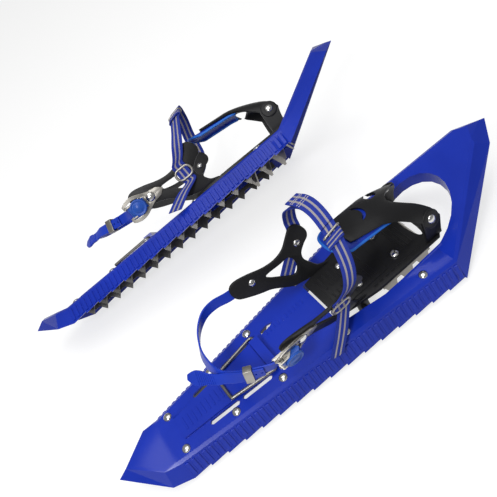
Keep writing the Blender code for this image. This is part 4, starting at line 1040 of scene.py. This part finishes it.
# %% [markdown]
# ## Webbing
# The webbing starts at the left wing, arches over the instep and ends in the D-ring, and a free
# tail hangs below it. A second layer is folded back along the top of the arch and held by a
# short loop of the same webbing. A short length between arch and tail fills the ring.

# %% Webbing
WEBBING_WIDTH, WEBBING_THICK = 22, 2.0
instep = strap(instep_track, WEBBING_WIDTH, WEBBING_THICK)
place(instep, "instep_webbing", "binding", webbing, "webbing", "instep_strap")


def above_instep(share, lift):
    """Key for a layer that lies over the arch."""
    point, across, along = instep_track.at(share)
    return point + across.cross(along).normalized() * lift, across


flap_track = Track([above_instep(share, lift) for share, lift in (
    (0.655, 2.1), (0.6, 2.2), (0.55, 2.4), (0.5, 3.6), (0.455, 6.2), (0.43, 9.0))])
place(strap(flap_track, WEBBING_WIDTH, 1.8), "folded_flap", "binding", webbing, "webbing")


def on_flap(across_share, along_share):
    """Point on the face of the folded layer."""
    point, across, along = flap_track.at(along_share)
    return point + across * across_share * WEBBING_WIDTH + along.cross(across).normalized() * 1.0


stitches = bmesh.new()
for row in (0.60, 0.66, 0.80, 0.86):
    for k in range(7):
        here, there = on_flap((k + 0.1) / 7 * 0.9 - 0.45, row), on_flap((k + 0.9) / 7 * 0.9 - 0.45, row)
        _, across, along = flap_track.at(row)
        block(stitches, (here + there) / 2, there - here, along, ((there - here).length, 1.5, 1.0), 0.3)
place(stitches, "flap_stitches", "binding", thread_grey, "webbing")

point, across, along = instep_track.at(0.712)
rise = across.cross(along).normalized()
LOOP = ((0, -2.3), (8, -2.3), (12.4, -0.9), (12.4, 1.7), (8, 3.3), (0, 3.5), (-8, 3.3), (-12.4, 1.7), (-12.4, -0.9),
        (-8, -2.3), (0, -2.3))
loop_track = Track([(point + across * x + rise * z, along) for x, z in LOOP])
place(strap(loop_track, 13, 1.6, spacing=1.5), "webbing_loop", "binding", webbing, "webbing")
tail_track = Track([((54.5, 314, 66.3), (0, 1, 0)), ((54.1, 314, 60.3), (0, 1, -0.1)),
                    ((70, 293, 50), (0, 1, -0.3)), ((84, 267, 34), (0, 1, -0.35))])
place(strap(tail_track, WEBBING_WIDTH, WEBBING_THICK), "webbing_tail", "binding", webbing, "webbing", "strap_tail")
RING_SPAN = ((59.9, 314, 87.8), (57.2, 314, 77.2), (54.6, 314, 66.6))
through_ring = Track([(spot, FORWARD) for spot in RING_SPAN])
place(strap(through_ring, WEBBING_WIDTH, WEBBING_THICK), "webbing_in_ring", "binding", webbing, "webbing")
print("instep webbing", round(instep_track.length[-1]), "mm, tail", round(tail_track.length[-1]), "mm")

# %% [markdown]
# ## Stage and light
# The picture has a plain white ground and soft light from all round. The floor is white cloth
# that keeps a faint shadow, and for the camera it also glows a little, so that it reads as
# white without more light on the object. A wide softbox hangs over the shoes and a narrower one
# stands to the right, where its reflection runs along the deck's rim.

# %% Floor
floor_mesh = bmesh.new()
bmesh.ops.create_grid(floor_mesh, x_segments=1, y_segments=1, size=6)
floor_data = bpy.data.meshes.new("floor")
floor_mesh.to_mesh(floor_data)
floor_mesh.free()
floor = bpy.data.objects.new("floor", floor_data)
floor.location.z = cad_box[0].z - 0.0005
bpy.context.scene.collection.objects.link(floor)


def floor_material():
    material, tree, shader = start_material("white_ground", 0.9, 0.0)
    shader.inputs["Base Color"].default_value = (0.45, 0.45, 0.45, 1)
    glow = add_node(tree, 'ShaderNodeEmission', {"Color": (1, 1, 1, 1), "Strength": 0.68})
    total = add_node(tree, 'ShaderNodeAddShader')
    rays = add_node(tree, 'ShaderNodeLightPath')
    seen = math_node(tree, 'MAXIMUM', rays.outputs["Is Camera Ray"], rays.outputs["Is Glossy Ray"])
    choose = add_node(tree, 'ShaderNodeMixShader')
    tree.links.new(shader.outputs["BSDF"], total.inputs[0])
    tree.links.new(glow.outputs["Emission"], total.inputs[1])
    tree.links.new(seen, choose.inputs["Fac"])
    tree.links.new(shader.outputs["BSDF"], choose.inputs[1])
    tree.links.new(total.outputs["Shader"], choose.inputs[2])
    tree.links.new(choose.outputs["Shader"], tree.nodes["Material Output"].inputs["Surface"])
    return material


floor_data.materials.append(floor_material())
print("floor at", round(floor.location.z, 4), "m")

# %% World and lamps
world = bpy.data.worlds.new("studio")
bpy.context.scene.world = world
world.use_nodes = True
sky = world.node_tree.nodes["Background"]
sky.inputs["Color"].default_value = (1, 1, 1, 1)
sky.inputs["Strength"].default_value = 0.3


def softbox(name, place_mm, target_mm, size, power):
    """Lamp at a place on the flat shoe's frame, turned to a target."""
    data = bpy.data.lights.new(name, 'AREA')
    data.shape = 'RECTANGLE'
    data.size, data.size_y = size
    data.energy = power
    lamp = bpy.data.objects.new(name, data)
    bpy.context.scene.collection.objects.link(lamp)
    spot, target = stand @ Vector(place_mm), stand @ Vector(target_mm)
    lamp.location = spot
    lamp.rotation_mode = 'QUATERNION'
    lamp.rotation_quaternion = (target - spot).to_track_quat('-Z', 'Y')


softbox("overhead_softbox", (-100, 300, 1800), (-100, 300, 0), (1.6, 1.6), 17)
softbox("right_softbox", (735, -370, 1210), (60, 80, 30), (0.26, 0.36), 9)
bpy.context.scene.view_settings.view_transform = 'Standard'
